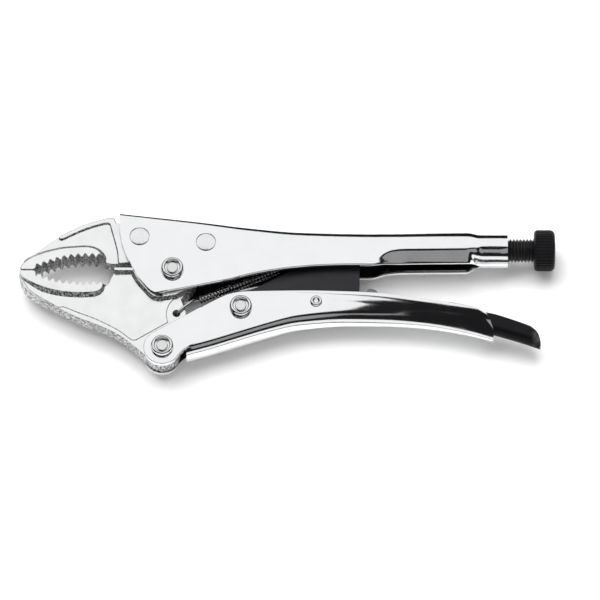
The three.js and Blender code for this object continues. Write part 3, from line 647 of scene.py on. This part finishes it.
def fixed_layer(x):
    """The fixed handle's section ring for place x, leaned to follow the slanted front edge."""
    share = np.clip((x - FRONT_X) / (FRONT_BLEND - FRONT_X), 0, 1)
    edge_x = x + (1 - share) * (FRONT_FOOT - FRONT_X)
    spine, fillet = along_table(FIXED_SPINE, x)
    low, = along_table(FIXED_LOW, edge_x)
    half, = along_table(FIXED_WIDTH, x)
    ring = channel_section(spine, half, fillet, low, along_table(FIXED_CURL, x), SHEET)
    front = np.array([along_table(FIXED_FRONT, y)[0] for y in ring[:, 1]])
    return np.column_stack([x + (1 - share) * (front - FRONT_X), ring[:, 1], ring[:, 0]])


def fixed_handle(material, inside):
    places = spaced((FRONT_X, FRONT_BLEND, 4), (FRONT_BLEND, 148, 4), (148, 166, 1.2),
                    (166, 198, 4), (198, 208, 0.8), (208, TUBE_END, 3.5))
    piece = channel_piece("fixed_handle_shell", [fixed_layer(x) for x in places], material, inside,
                          0.6)
    apply_modifiers(piece)
    holes = []
    for centre, radius in ((FRONT_RIVET, RIVET_RADIUS), (REAR_RIVET, RIVET_RADIUS),
                           (MAIN_PIVOT, PIN_RADIUS)):
        holes.append(chamfered_hole(centre, radius + RUNNING, FIXED_HALF, material))
    joined(piece, holes, "DIFFERENCE")
    finish_piece(piece, "fixed_handle", "fixed_handle")


def chamfered_hole(centre, radius, half, material):
    """A cutter for a hole through both plates with lightly chamfered mouths."""
    mouth = radius + HOLE_CHAMFER
    profile = [(mouth, -half - 0.5), (mouth, -half), (radius, -half + HOLE_CHAMFER),
               (radius, half - HOLE_CHAMFER), (mouth, half), (mouth, half + 0.5)]
    return turned("hole", centre, profile, material)


# ---- lower handle ----

# The spine faces -Y, so these tables hold Y reversed.
LOWER_SPINE = [(75, 54.2, 5.4), (85.2, 51.3, 5.4), (94.2, 48.3, 5.4), (112, 42.6, 5.5),
               (125.5, 39.2, 5.6), (147.8, 37.3, 5.8), (165, 37.4, 6.0), (180, 38.4, 6.15),
               (197, 41.1, 6.15), (214, 45.5, 6.15)]
LOWER_EDGE = [(75, 33.9), (80.7, 30.8), (87.5, 26.9), (94.2, 23.7), (98.6, 22.8), (103.1, 22.5),
              (125.5, 22.3), (147.8, 22.9), (161.3, 23.7), (179.1, 26.3), (197, 29.4),
              (203.7, 31.1)]
LOWER_ARCH = [(75, 0), (105, 0), (125, 0.2), (143, 0.44), (152, 0.52), (161, 0.61), (168, 0.69),
              (175, 0.8), (190, 1), (204, 1)]
ARCH_HALF = 7.2                      # half width of the arched rear at its top edges
LOWER_START, LOWER_BLEND, LOWER_END = 75.0, 150.0, 203.7
# How far behind the top edge's end the rear edge lies, for shares of the way to the spine.
LOWER_BACK = [(0, 0), (0.03, 1.2), (0.1, 3.1), (0.25, 5.2), (0.5, 6.9), (0.8, 8.1), (1, 7.9)]
LOWER_WALL = (2.8, 0.4, 1)


def lower_layer(x):
    def section(spine, fillet, low):
        arch, = along_table(LOWER_ARCH, x)
        return channel_section(spine, LOWER_HALF, fillet, low, LOWER_WALL, SHEET, arch)

    return drawn_layer(x, LOWER_SPINE, LOWER_EDGE, LOWER_BACK, LOWER_BLEND, LOWER_END, section)


def ear_outline():
    outline = Outline()
    outline.add([(81.5, -30.4)])
    outline.add(arc(HANDLE_PIVOT, EAR_RADIUS, 2.09, 5.5, 40))
    outline.add(corner((70.1, -56.1), (72.6, -52.2), (76.5, -49.6)))
    outline.add([(81.5, -47.2)])
    return outline


def lower_handle(material, inside):
    places = spaced((LOWER_START, 110, 3), (110, 175, 3), (175, LOWER_END, 2))
    piece = channel_piece("lower_handle_shell", [lower_layer(x) for x in places], material, inside)
    ears = [plate("ear", ear_outline(), LOWER_HALF, material, edge=0.35, low=LOWER_HALF - SHEET)
            for side in range(2)]
    mirror(ears[0])
    apply_modifiers(piece)
    joined(piece, ears)
    finish_piece(piece, "lower_handle", "lower_handle")


def mirror(piece):
    """Mirrors a piece through the middle plane and turns its faces the right way out again."""
    for vertex in piece.data.vertices:
        vertex.co.z = 2 * ORIGIN[2] - vertex.co.z
    piece.data.flip_normals()


# ---- release lever ----

LEVER_SHEET = 1.6
LEVER_SPINE = [(127, 32.2, 1.9), (150, 33.1, 1.9), (168, 34.0, 2.4), (184, 35.2, 3.5),
               (200, 38.2, 3.55), (214, 42.2, 3.55), (226, 46.1, 3.55), (234, 49.2, 3.55)]
LEVER_EDGE = [(127, 25.0), (133, 23.8), (139, 26.8), (149, 27.0), (152, 26.2), (153.6, 24.4),
              (154.8, 21.8), (156, 20.7), (157.2, 20.4), (158.8, 20.8), (160.2, 22.0),
              (161.6, 23.8), (164.2, 26.1), (172, 27.5), (188, 29.7), (200, 30.7), (210.5, 32.3),
              (219.4, 35.3), (224.5, 37.4)]
LEVER_START, LEVER_BLEND, LEVER_END = 128.7, 195.0, 224.5
LEVER_BACK = [(0, 0), (0.04, 1.4), (0.15, 4.0), (0.4, 6.7), (0.7, 7.9), (0.93, 8.2), (1, 7.4)]
LEVER_WALL = (1.0, 0.4, 1)
LEVER_COAT_START = 190.0             # the tail behind this is coated black


def lever_layer(x):
    def section(spine, fillet, low):
        return channel_section(spine, WEB_HALF, fillet, low, LEVER_WALL, LEVER_SHEET)

    return drawn_layer(x, LEVER_SPINE, LEVER_EDGE, LEVER_BACK, LEVER_BLEND, LEVER_END, section)


def release_lever(coat, plating_painted_shade):
    places = spaced((LEVER_START, 148, 3), (148, 166, 0.6), (166, 208, 4), (208, LEVER_END, 1.5))
    piece = channel_piece("release_lever_pressing", [lever_layer(x) for x in places], coat,
                          plating_painted_shade, 0.5)
    coat_start = place((LEVER_COAT_START, 0, 0))[0]
    # Faces in front of the coat's start take the lever's plated finish, darkened as painted shade
    # under the lower handle.
    for face in piece.data.polygons:
        face.material_index = int(face.center.x < coat_start)
    finish_piece(piece, "release_lever", "release_lever")


# ---- jaws ----

UPPER_TIPS = [(7, -11.3), (15, -8.3), (22, -6.4), (30, -5.7), (37.2, -6)]
LOWER_TIPS = [(7, -12.6), (13, -15.3), (20, -17), (28, -17.6), (36.4, -17.4)]
UPPER_BACK = [(1.6, -8.6), (9.3, -1.1), (17.1, 4.8), (28.9, 11), (38.4, 14.1)]
BITE_START, BITE_END = 5.6, 0.9      # the notched flat between teeth and tip
NOTCH_COUNT = 5
NOTCH_DEPTH = 0.25
RIM_START = 17.3                     # where the fixed jaw's raised rim begins
TONGUE_TOP = -11.0                   # where the lower jaw ends behind the throat
TONGUE_BOTTOM = -12.7
HUB_ARC_END = math.pi - math.asin((TONGUE_TOP - MAIN_PIVOT[1]) / HUB_RADIUS)
CHIN = [(0, -13.2), (0.3, -16), (4, -21.9), (13.6, -28), (26, -34.7), (35, -38.4), (44, -43),
        (51.5, -48.8), (57.6, -54.6)]


def teeth(tips, back):
    """Saw teeth along a curve: straight flanks, with a narrow flat at each tip and root."""
    marks = spline(tips, TOOTH_COUNT)
    points = []
    for at in range(TOOTH_COUNT):
        step = marks[at + 1] - marks[at]
        normal = np.array([-step[1], step[0]]) / np.linalg.norm(step) * back * TOOTH_DEPTH
        middle = (marks[at] + marks[at + 1]) / 2
        points += [marks[at] + 0.06 * step, middle + normal - 0.07 * step,
                   middle + normal + 0.07 * step, marks[at + 1] - 0.06 * step]
    return np.array(points)


def bite(outline, tips, side):
    """Adds a jaw's toothed edge from the throat to the tip, and the fine notches of the flat
    where the jaws meet. side is 1 for the fixed jaw and -1 for the lower one."""
    outline.add(teeth(tips, side)[::-1], rounding=0.35)
    flat = BITE_Y + side * BITE_GAP / 2
    marks = np.linspace(BITE_START, BITE_END, 2 * NOTCH_COUNT + 1)
    heights = flat + side * NOTCH_DEPTH * (np.arange(len(marks)) % 2)
    outline.add(np.column_stack([marks, heights]), rounding=0.15)


def upper_nose():
    return corner((0.6, BITE_Y + BITE_GAP / 2), (-0.3, -10.2), UPPER_BACK[0], 6)


def fixed_jaw(material):
    panel = Outline().add(upper_nose()).add(spline(UPPER_BACK, 30), 1.0)
    crest = corner(UPPER_BACK[-1], (42, 14.9), (42.4, 13.6))
    heel = [(43.2, 11.6), (46, 11.6), (52, -8)]
    panel.add(crest).add(heel + [(41.8, -8.4)])
    panel.add(corner((41.8, -8.4), (38.6, -8.4), (37.2, -6)))
    bite(panel, UPPER_TIPS, 1)
    back = spline(UPPER_BACK, 60)
    rim = Outline().add(back[back[:, 0] > RIM_START])
    rim.add(crest).add(heel + [(44.2, -8.4)])
    rim.add(spline([(44.2, -8.4), (43.6, -2), (41.6, 6), (40.2, 11.2)], 12), 1.0)
    rim.add(corner((40.2, 11.2), (39, 12), (36, 11)), 1.0)
    rim.add(spline([(36, 11), (29.6, 8.8), (22.5, 5.4), (20.2, 4.1)], 16), 1.0)
    rim.add(corner((20.2, 4.1), (17.8, 2.9), (RIM_START, 4.6)), 0.6)
    boss = Outline().add(upper_nose())
    boss.add(spline([UPPER_BACK[0], (4.9, -5.8), (11, -3.2), (19, -1.1), (28, -0.3)], 20), 1.0)
    boss.add(corner((28, -0.3), (36.6, 0.2), (38, -7), 12), 1.0)
    bite(boss, UPPER_TIPS, 1)
    tang = Outline().add([(46, 12.4), (90, 7.7), (90, -7)])
    tang.add(arc(MAIN_PIVOT, HUB_RADIUS + 0.6, 0.55, 2.65, 30))
    tang.add(spline([(51.6, -8), (49.4, -8), (46.9, -1), (45.6, 4.6), (45.3, 9)], 16))
    piece = plate("fixed_jaw_forging", panel, PANEL_HALF, material, edge=0.3)
    layers = [
        plate("rim", rim, RIM_HALF, material, edge=0.45, skirt=0.5),
        plate("boss", boss, BOSS_HALF, material, edge=0.6, skirt=1.2, fall=1.2),
        plate("tang", tang, HUB_HALF, material, edge=0.3),
    ]
    joined(piece, layers)
    finish_piece(piece, "fixed_handle", "fixed_jaw")


def lower_jaw(material):
    web = Outline().add([(0.4, BITE_Y - BITE_GAP / 2)])
    web.add(spline(CHIN, 60))
    web.add(arc(HANDLE_PIVOT, TAB_RADIUS, -2.2, 0.1))
    web.add([(SPRING_HOLE[0] + LUG_RADIUS, SPRING_HOLE[1] - 3)])
    web.add(arc(SPRING_HOLE, LUG_RADIUS, -0.4, 0.35, 8))
    web.add([(72.6, -26)])
    web.add(arc(MAIN_PIVOT, HUB_RADIUS, -0.9, HUB_ARC_END, 40))
    web.add(corner((43, TONGUE_TOP), (42, TONGUE_TOP), (42.1, -12.2)))
    web.add([(40.6, -16.4)])
    web.add(corner((40.6, -16.4), (39.8, -18.8), (38.4, -19.4)))
    web.add(corner((38.4, -19.4), (37.2, -19.4), (36.4, -17.4)))
    bite(web, LOWER_TIPS, -1)
    boss = Outline().add([(0.4, BITE_Y - BITE_GAP / 2), (0, -13.2)])
    boss.add(spline([(0, -13.2), (1.2, -15.4), (4.7, -17.6), (11, -20.5), (18, -22.4), (26, -23.2),
                     (33, -23)], 24), np.clip(np.linspace(-0.15, 3, 25), 0, 1))
    boss.add(corner((33, -23), (37.4, -22.6), (37.6, -18.8), 12), np.linspace(1, 0.4, 13))
    bite(boss, LOWER_TIPS, -1)
    face = Outline().add(spline([(1.2, -15.8), (4.6, -21.4), (10, -25.2), (16.9, -29.4)], 16))
    face.add(corner((16.9, -29.4), (18.4, -30.2), (19.6, -29.5)), 1.0)
    face.add(spline([(19.6, -29.5), (22, -30.4), (26, -32.2), (35, -35.9), (44, -40.8),
                     (49.6, -45.2)], 36), 1.0)
    face.add(corner((49.6, -45.2), (51.4, -46.8), (53.6, -45.2)), 0.6)
    face.add([(66.6, -37.2)])
    face.add(spline([(66.6, -37.2), (66, -32.4), (67.8, -27.4), (71.6, -23.9)], 20), 1.8)
    face.add([(60, TONGUE_BOTTOM), (42.2, TONGUE_BOTTOM), (40.6, -16.4)])
    face.add(corner((40.6, -16.4), (39.8, -18.8), (38.4, -19.4)))
    face.add([(30, -18.6), (14, -16.8), (5, -13.6)])
    # The hub's sloped wall, along the fixed handle's front edge, takes the forging's dark wall
    # colour as painted shade of the step.
    hub = Outline().add(corner((43, TONGUE_TOP), (42.2, TONGUE_TOP), (42.2, TONGUE_BOTTOM + 0.5)))
    hub.add([(42.6, TONGUE_BOTTOM), (50.5, TONGUE_BOTTOM)], 0.3)
    hub.add(spline([(50.5, TONGUE_BOTTOM), (53, -17.4), (57.2, -22.6), (60.2, -25.4),
                    (64.3, -25.7), (70.4, -24.6)], 24), 1.0)
    hub.add(arc(MAIN_PIVOT, HUB_RADIUS, -1.25, HUB_ARC_END, 40))
    piece = plate("lower_jaw_forging", web, WEB_HALF, material, edge=0.35)
    layers = [
        plate("face", face, FACE_HALF, material, edge=0.28, skirt=0.5, fall=0.5),
        plate("boss", boss, BOSS_HALF, material, edge=0.35, skirt=2.6, fall=1.6),
        plate("hub", hub, HUB_HALF, material, edge=0.35, skirt=0.9, fall=1.9),
    ]
    joined(piece, layers)
    holes = []
    for centre, radius in ((SPRING_HOLE, SPRING_HOLE_RADIUS), (MAIN_PIVOT, PIN_RADIUS + RUNNING),
                           (HANDLE_PIVOT, PIN_RADIUS + RUNNING)):
        profile = [(radius, -BORE_REACH), (radius, BORE_REACH)]
        holes.append(turned("bore", centre, profile, material, 48))
    joined(piece, holes, "DIFFERENCE")
    finish_piece(piece, "lower_jaw", "lower_jaw")


# ---- link, pins, collars and rivets ----

def toggle_link(material):
    round_end = arc(LINK_PIVOT, LINK_RADIUS, 2.1, 5.2, 30)
    outline = Outline().add(round_end)
    outline.add(corner(round_end[-1], (108, -23.4), (118, -23.1)))
    outline.add(corner((149.5, -23.1), (152, -23.1), (152, -21)))
    outline.add(corner((152.4, -9), (153, -6.4), (155.3, -3.98)))
    outline.add(arc(LINK_END, LINK_END_RADIUS, -1.03, 2.1, 24))
    piece = plate("toggle_link_plate", outline, WEB_HALF, material, edge=0.35)
    finish_piece(piece, "toggle_link", "toggle_link")


# A collar's section as (radius, height above its base): a flat foot and a rounded crown.
COLLAR = [(2.52, 0), (5.0, 0), (5.1, 0.1), (5.1, 0.9), (5.04, 1.5), (4.86, 2.0), (4.6, 2.36),
          (4.28, 2.56), (3.95, 2.6), (3.62, 2.5), (3.38, 2.26), (3.27, 1.9), (3.25, 1.5),
          (3.25, 0.9), (2.52, 0.9), (2.52, 0)]


def mirrored(upper):
    """A turned profile from its upper half."""
    return [(radius, -height) for radius, height in reversed(upper)] + upper


def pivot(name, body, half, pin_material, collar_material):
    """A pin and its two dished collars, with rounded and turned edges."""
    centre = centre_of(name + "_pin")
    end = half_height(name + "_pin")
    upper = [(PIN_RADIUS, half), (2.42, half), (2.42, end - 0.2), (2.25, end), (0.35, end)]
    piece = turned(name + "_pin_turned", centre, mirrored(upper), pin_material)
    finish_piece(piece, body, name + "_pin")
    base = half + RUNNING
    for side, sign in (("top", 1), ("bottom", -1)):
        node = f"{name}_collar_{side}"
        profile = [(radius, sign * (base + height)) for radius, height in COLLAR]
        ring = turned(node + "_turned", centre, profile, collar_material, 72)
        finish_piece(ring, body, node)


def flush_rivet(node, material):
    """A flush rivet with a faint chamfered rim."""
    half = half_height(node)
    upper = [(RIVET_RADIUS, half - 0.12), (RIVET_RADIUS - 0.25, half), (0.2, half)]
    piece = turned(node + "_ground", centre_of(node), mirrored(upper), material, 72)
    finish_piece(piece, "fixed_handle", node)


def lever_rivet(material):
    end = half_height("release_lever_rivet")
    upper = [(1.8, end - 0.8), (2.45, end - 0.8), (2.6, end - 0.65), (2.55, end - 0.4),
             (2.3, end - 0.12), (1.95, end), (1.6, end - 0.05), (1.2, end - 0.4), (0.9, end - 0.75),
             (0.25, end - 0.8)]
    piece = turned("release_lever_rivet_headed", LEVER_PIVOT, mirrored(upper), material)
    finish_piece(piece, "lower_handle", "release_lever_rivet")


# ---- screw, knob and spring ----

THREAD_START = 205.0
THREAD_DEPTH = 0.82
THREAD_FACETS = 72
KNOB_RIBS = 40
RIB_DEPTH = 0.42


def along_x(name, rings, material, sharp):
    """A solid from rings given as (x, radii), all with the same number of radii."""
    layers = []
    for x, radii in rings:
        angles = np.linspace(0, 2 * math.pi, len(radii), endpoint=False)
        layers.append(np.column_stack([np.full(len(radii), x), radii * np.cos(angles),
                                       radii * np.sin(angles)]))
    return stacked(name, layers, material, sharp)


def thread_radius(turns):
    """Radius of a rolled thread at a place counted in turns: flat crests and rounded roots."""
    wave = np.abs((turns % 1.0) * 2 - 1)
    return SCREW_RADIUS - THREAD_DEPTH * np.clip((wave - 0.12) / 0.76, 0, 1)


def adjusting_screw(material):
    low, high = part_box("adjusting_screw")
    start = (low[0] - ORIGIN[0]) / MM
    end = (high[0] - ORIGIN[0]) / MM
    round_ring = np.ones(THREAD_FACETS)
    spokes = np.arange(THREAD_FACETS) / THREAD_FACETS
    rings = [(start, 2.2 * round_ring), (start + 3, 4.4 * round_ring),
             (THREAD_START - 1, (SCREW_RADIUS - 0.85) * round_ring)]
    for x in np.arange(THREAD_START, KNOB_START + 0.6, SCREW_PITCH / 12):
        rings.append((x, thread_radius(x / SCREW_PITCH - spokes)))
    rings += [(KNOB_START + 0.8, 4.5 * round_ring), (end, 4.4 * round_ring)]
    piece = along_x("adjusting_screw_threaded", rings, material, math.radians(75))
    finish_piece(piece, "adjusting_screw", "adjusting_screw")


def adjusting_knob(material):
    """A drum with fine straight ribs, a rounded shoulder and a slightly domed end."""
    facets = KNOB_RIBS * 8
    angles = np.arange(facets) / facets * KNOB_RIBS
    wave = np.abs((angles % 1.0) * 2 - 1)
    groove = np.clip((wave - 0.45) / 0.35, 0, 1)
    shape = [(0.0, 7.2, 0), (0.0, 8.1, 0), (0.25, 8.7, 0.2), (0.7, 9.0, 0.7), (1.2, 9.18, 1),
             (1.8, KNOB_RADIUS, 1), (6.9, KNOB_RADIUS, 1), (7.6, 9.16, 1), (8.2, 8.9, 0.8),
             (8.7, 8.5, 0.4), (9.05, 7.95, 0.1), (9.25, 7.2, 0), (9.38, 5.0, 0),
             (9.46, 2.5, 0), (9.5, 0.4, 0)]
    rings = [(KNOB_START + 0.35, np.full(facets, 4.75)), (KNOB_START + 0.3, np.full(facets, 6.9))]
    for x, radius, depth in shape:
        rings.append((KNOB_START + x, radius - RIB_DEPTH * depth * groove))
    piece = along_x("adjusting_knob_ribbed", rings, material, math.radians(50))
    finish_piece(piece, "adjusting_knob", "adjusting_knob")


SPRING_START = np.array([80.6, -24.6, 0.0])
SPRING_END = np.array([116.5, -9.2, 0.0])
SPRING_RADIUS = 2.1                  # outside of the coils
SPRING_WIRE = 0.6                    # radius of the wire
SPRING_TURNS = 26
HOOK_STEPS = 10


def swept(name, path, radius, material, facets=12):
    """A round wire along a path, capped, with a frame that doesn't twist."""
    tangents = np.gradient(path, axis=0)
    tangents /= np.linalg.norm(tangents, axis=1)[:, None]
    side = np.cross(tangents[0], (0.0, 0.0, 1.0))
    side /= np.linalg.norm(side)
    angles = np.linspace(0, 2 * math.pi, facets, endpoint=False)
    layers = []
    for point, tangent in zip(path, tangents):
        side = side - tangent * np.dot(side, tangent)
        side /= np.linalg.norm(side)
        up = np.cross(tangent, side)
        layers.append(point + radius * (np.outer(np.cos(angles), side)
                                        + np.outer(np.sin(angles), up)))
    return stacked(name, layers, material)


def return_spring(material):
    """Close coils with a hook through the lug's hole and another through the handle's tab."""
    start, end, wire = SPRING_START, SPRING_END, SPRING_WIRE
    axis = (end - start) / np.linalg.norm(end - start)
    across = np.array([-axis[1], axis[0], 0.0])
    up = np.array([0.0, 0.0, 1.0])
    share = np.linspace(0, 1, SPRING_TURNS * 20 + 1)
    angle = 2 * math.pi * SPRING_TURNS * share + math.pi / 2
    turns = np.outer(np.cos(angle), across) + np.outer(np.sin(angle), up)
    coil = start + np.outer(share, end - start) + (SPRING_RADIUS - wire) * turns
    side = WEB_HALF + 0.3 + wire
    hole = np.array([*SPRING_HOLE, 0.0])
    front = smooth_path([hole, hole + (0, 0, side * 0.6), hole + (1.2, 0.8, side),
                         hole + (5.0, 4.2, side), start + (-2.4, -1.2, 3.2), coil[0]],
                        HOOK_STEPS)
    rear = smooth_path([coil[-1], end + (1.6, 0.9, -0.9), (121.0, -5.2, 0.0), (123.6, -4.6, 0.0),
                        (125.6, -4.6, 0.0)], HOOK_STEPS)
    path = np.vstack([front[:-1], coil, rear[1:]])
    piece = swept("return_spring_coils", path, wire, material)
    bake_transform(piece)
    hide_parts("return_spring")


# ---- the stage ----

ELEVATION = math.radians(65)
CAMERA_DISTANCE = 2.98
LENS = 400
AIM = (125.5, -24.4, 0.0)
FLOOR_REACH = 3.0


def camera():
    data = bpy.data.cameras.new("camera")
    data.lens = LENS
    data.sensor_width = 36
    eye = bpy.data.objects.new("camera", data)
    bpy.context.collection.objects.link(eye)
    aim = Vector(place(AIM))
    back = Vector((0, -math.cos(ELEVATION), math.sin(ELEVATION)))
    eye.location = aim + back * CAMERA_DISTANCE
    eye.rotation_euler = back.to_track_quat("Z", "Y").to_euler()
    bpy.context.scene.camera = eye


def soft_box(name, centre, size, radiance, aim, shines=True):
    """A rectangular area light that faces a point. Without shines it lights matt surfaces only."""
    data = bpy.data.lights.new(name, "AREA")
    data.shape = "RECTANGLE"
    data.size, data.size_y = size
    data.energy = radiance * math.pi * size[0] * size[1]
    lamp = bpy.data.objects.new(name, data)
    bpy.context.collection.objects.link(lamp)
    lamp.location = centre
    back = Vector(centre) - Vector(aim)
    lamp.rotation_euler = back.to_track_quat("Z", "Y").to_euler()
    lamp.visible_camera = False
    lamp.visible_glossy = shines


def studio():
    world = bpy.data.worlds.new("studio")
    world.use_nodes = True
    world.node_tree.nodes["Background"].inputs["Color"].default_value = (0.012, 0.012, 0.013, 1)
    bpy.context.scene.world = world
    bpy.context.scene.view_settings.view_transform = "Standard"
    soft_box("back_panel", (0.0, 0.72, 0.985), (2.6, 1.4), 1.0, (0.0, 0.481, 0.0))
    soft_box("front_panel", (0.0, -1.0, 0.33), (2.4, 0.42), 1.0, (0.0, 0.0, 0.2))
    soft_box("tail_card", (0.295, -0.32, 0.72), (0.48, 0.36), 0.3, (0.12, 0.0, 0.02))
    soft_box("floor_wash", (-0.3, 0.5, 1.4), (1.6, 1.4), 4.6, (0.0, 0.0, 0.0), shines=False)
    soft_box("floor_fill", (0.1, -0.8, 1.3), (1.4, 1.0), 1.5, (0.0, 0.0, 0.0), shines=False)
    mesh = bpy.data.meshes.new("floor")
    corners = [(x * FLOOR_REACH, y * FLOOR_REACH, 0)
               for x, y in ((-1, -1), (1, -1), (1, 1), (-1, 1))]
    mesh.from_pydata(corners, [], [(0, 1, 2, 3)])
    mesh.materials.append(floor_paint())
    floor = bpy.data.objects.new("floor", mesh)
    bpy.context.collection.objects.link(floor)


# ---- assembly ----

camera()
studio()

sheet_plating = plated_sheet()
# Darkened inner plate: painted shade inside the handles' channels.
inner_plating_painted_shade = turned_steel("inner_plating_painted_shade", (0.16, 0.16, 0.165), 0.4, 0.6)
# The release lever's plated front, darkened as painted shade.
lever_plating_painted_shade = turned_steel("lever_plating_painted_shade", (0.22, 0.22, 0.225), 0.2, 0.35)
forging = forged_plate()
pin_steel = turned_steel("pin_steel", (0.78, 0.785, 0.79), 0.12, 0.24)
collar_steel = turned_steel("collar_steel", (0.84, 0.845, 0.85), 0.08, 0.18)
rivet_steel = turned_steel("rivet_steel", (0.87, 0.875, 0.88), 0.12, 0.24)
spring_wire = turned_steel("spring_wire", (0.82, 0.82, 0.83), 0.06, 0.14)

fixed_handle(sheet_plating, inner_plating_painted_shade)
lower_handle(sheet_plating, inner_plating_painted_shade)
release_lever(black_steel("lever_coat", (0.004, 0.004, 0.005), 0.24, 0.38, 0.12), lever_plating_painted_shade)
fixed_jaw(forging)
lower_jaw(forging)
toggle_link(black_steel("link_oxide", (0.010, 0.010, 0.013), 0.28, 0.46, 0.3))
for pivot_name, body, half in (("main_pivot", "fixed_handle", FIXED_HALF),
                               ("handle_pivot", "lower_handle", LOWER_HALF),
                               ("link_pivot", "lower_handle", LOWER_HALF)):
    pivot(pivot_name, body, half, pin_steel, collar_steel)
flush_rivet("jaw_rivet_front", rivet_steel)
flush_rivet("jaw_rivet_rear", rivet_steel)
lever_rivet(rivet_steel)
adjusting_screw(black_steel("screw_oxide", (0.010, 0.010, 0.011), 0.22, 0.4, 0.4, 0.2))
adjusting_knob(black_steel("knob_oxide", (0.004, 0.004, 0.005), 0.3, 0.5, 0.16))
return_spring(spring_wire)
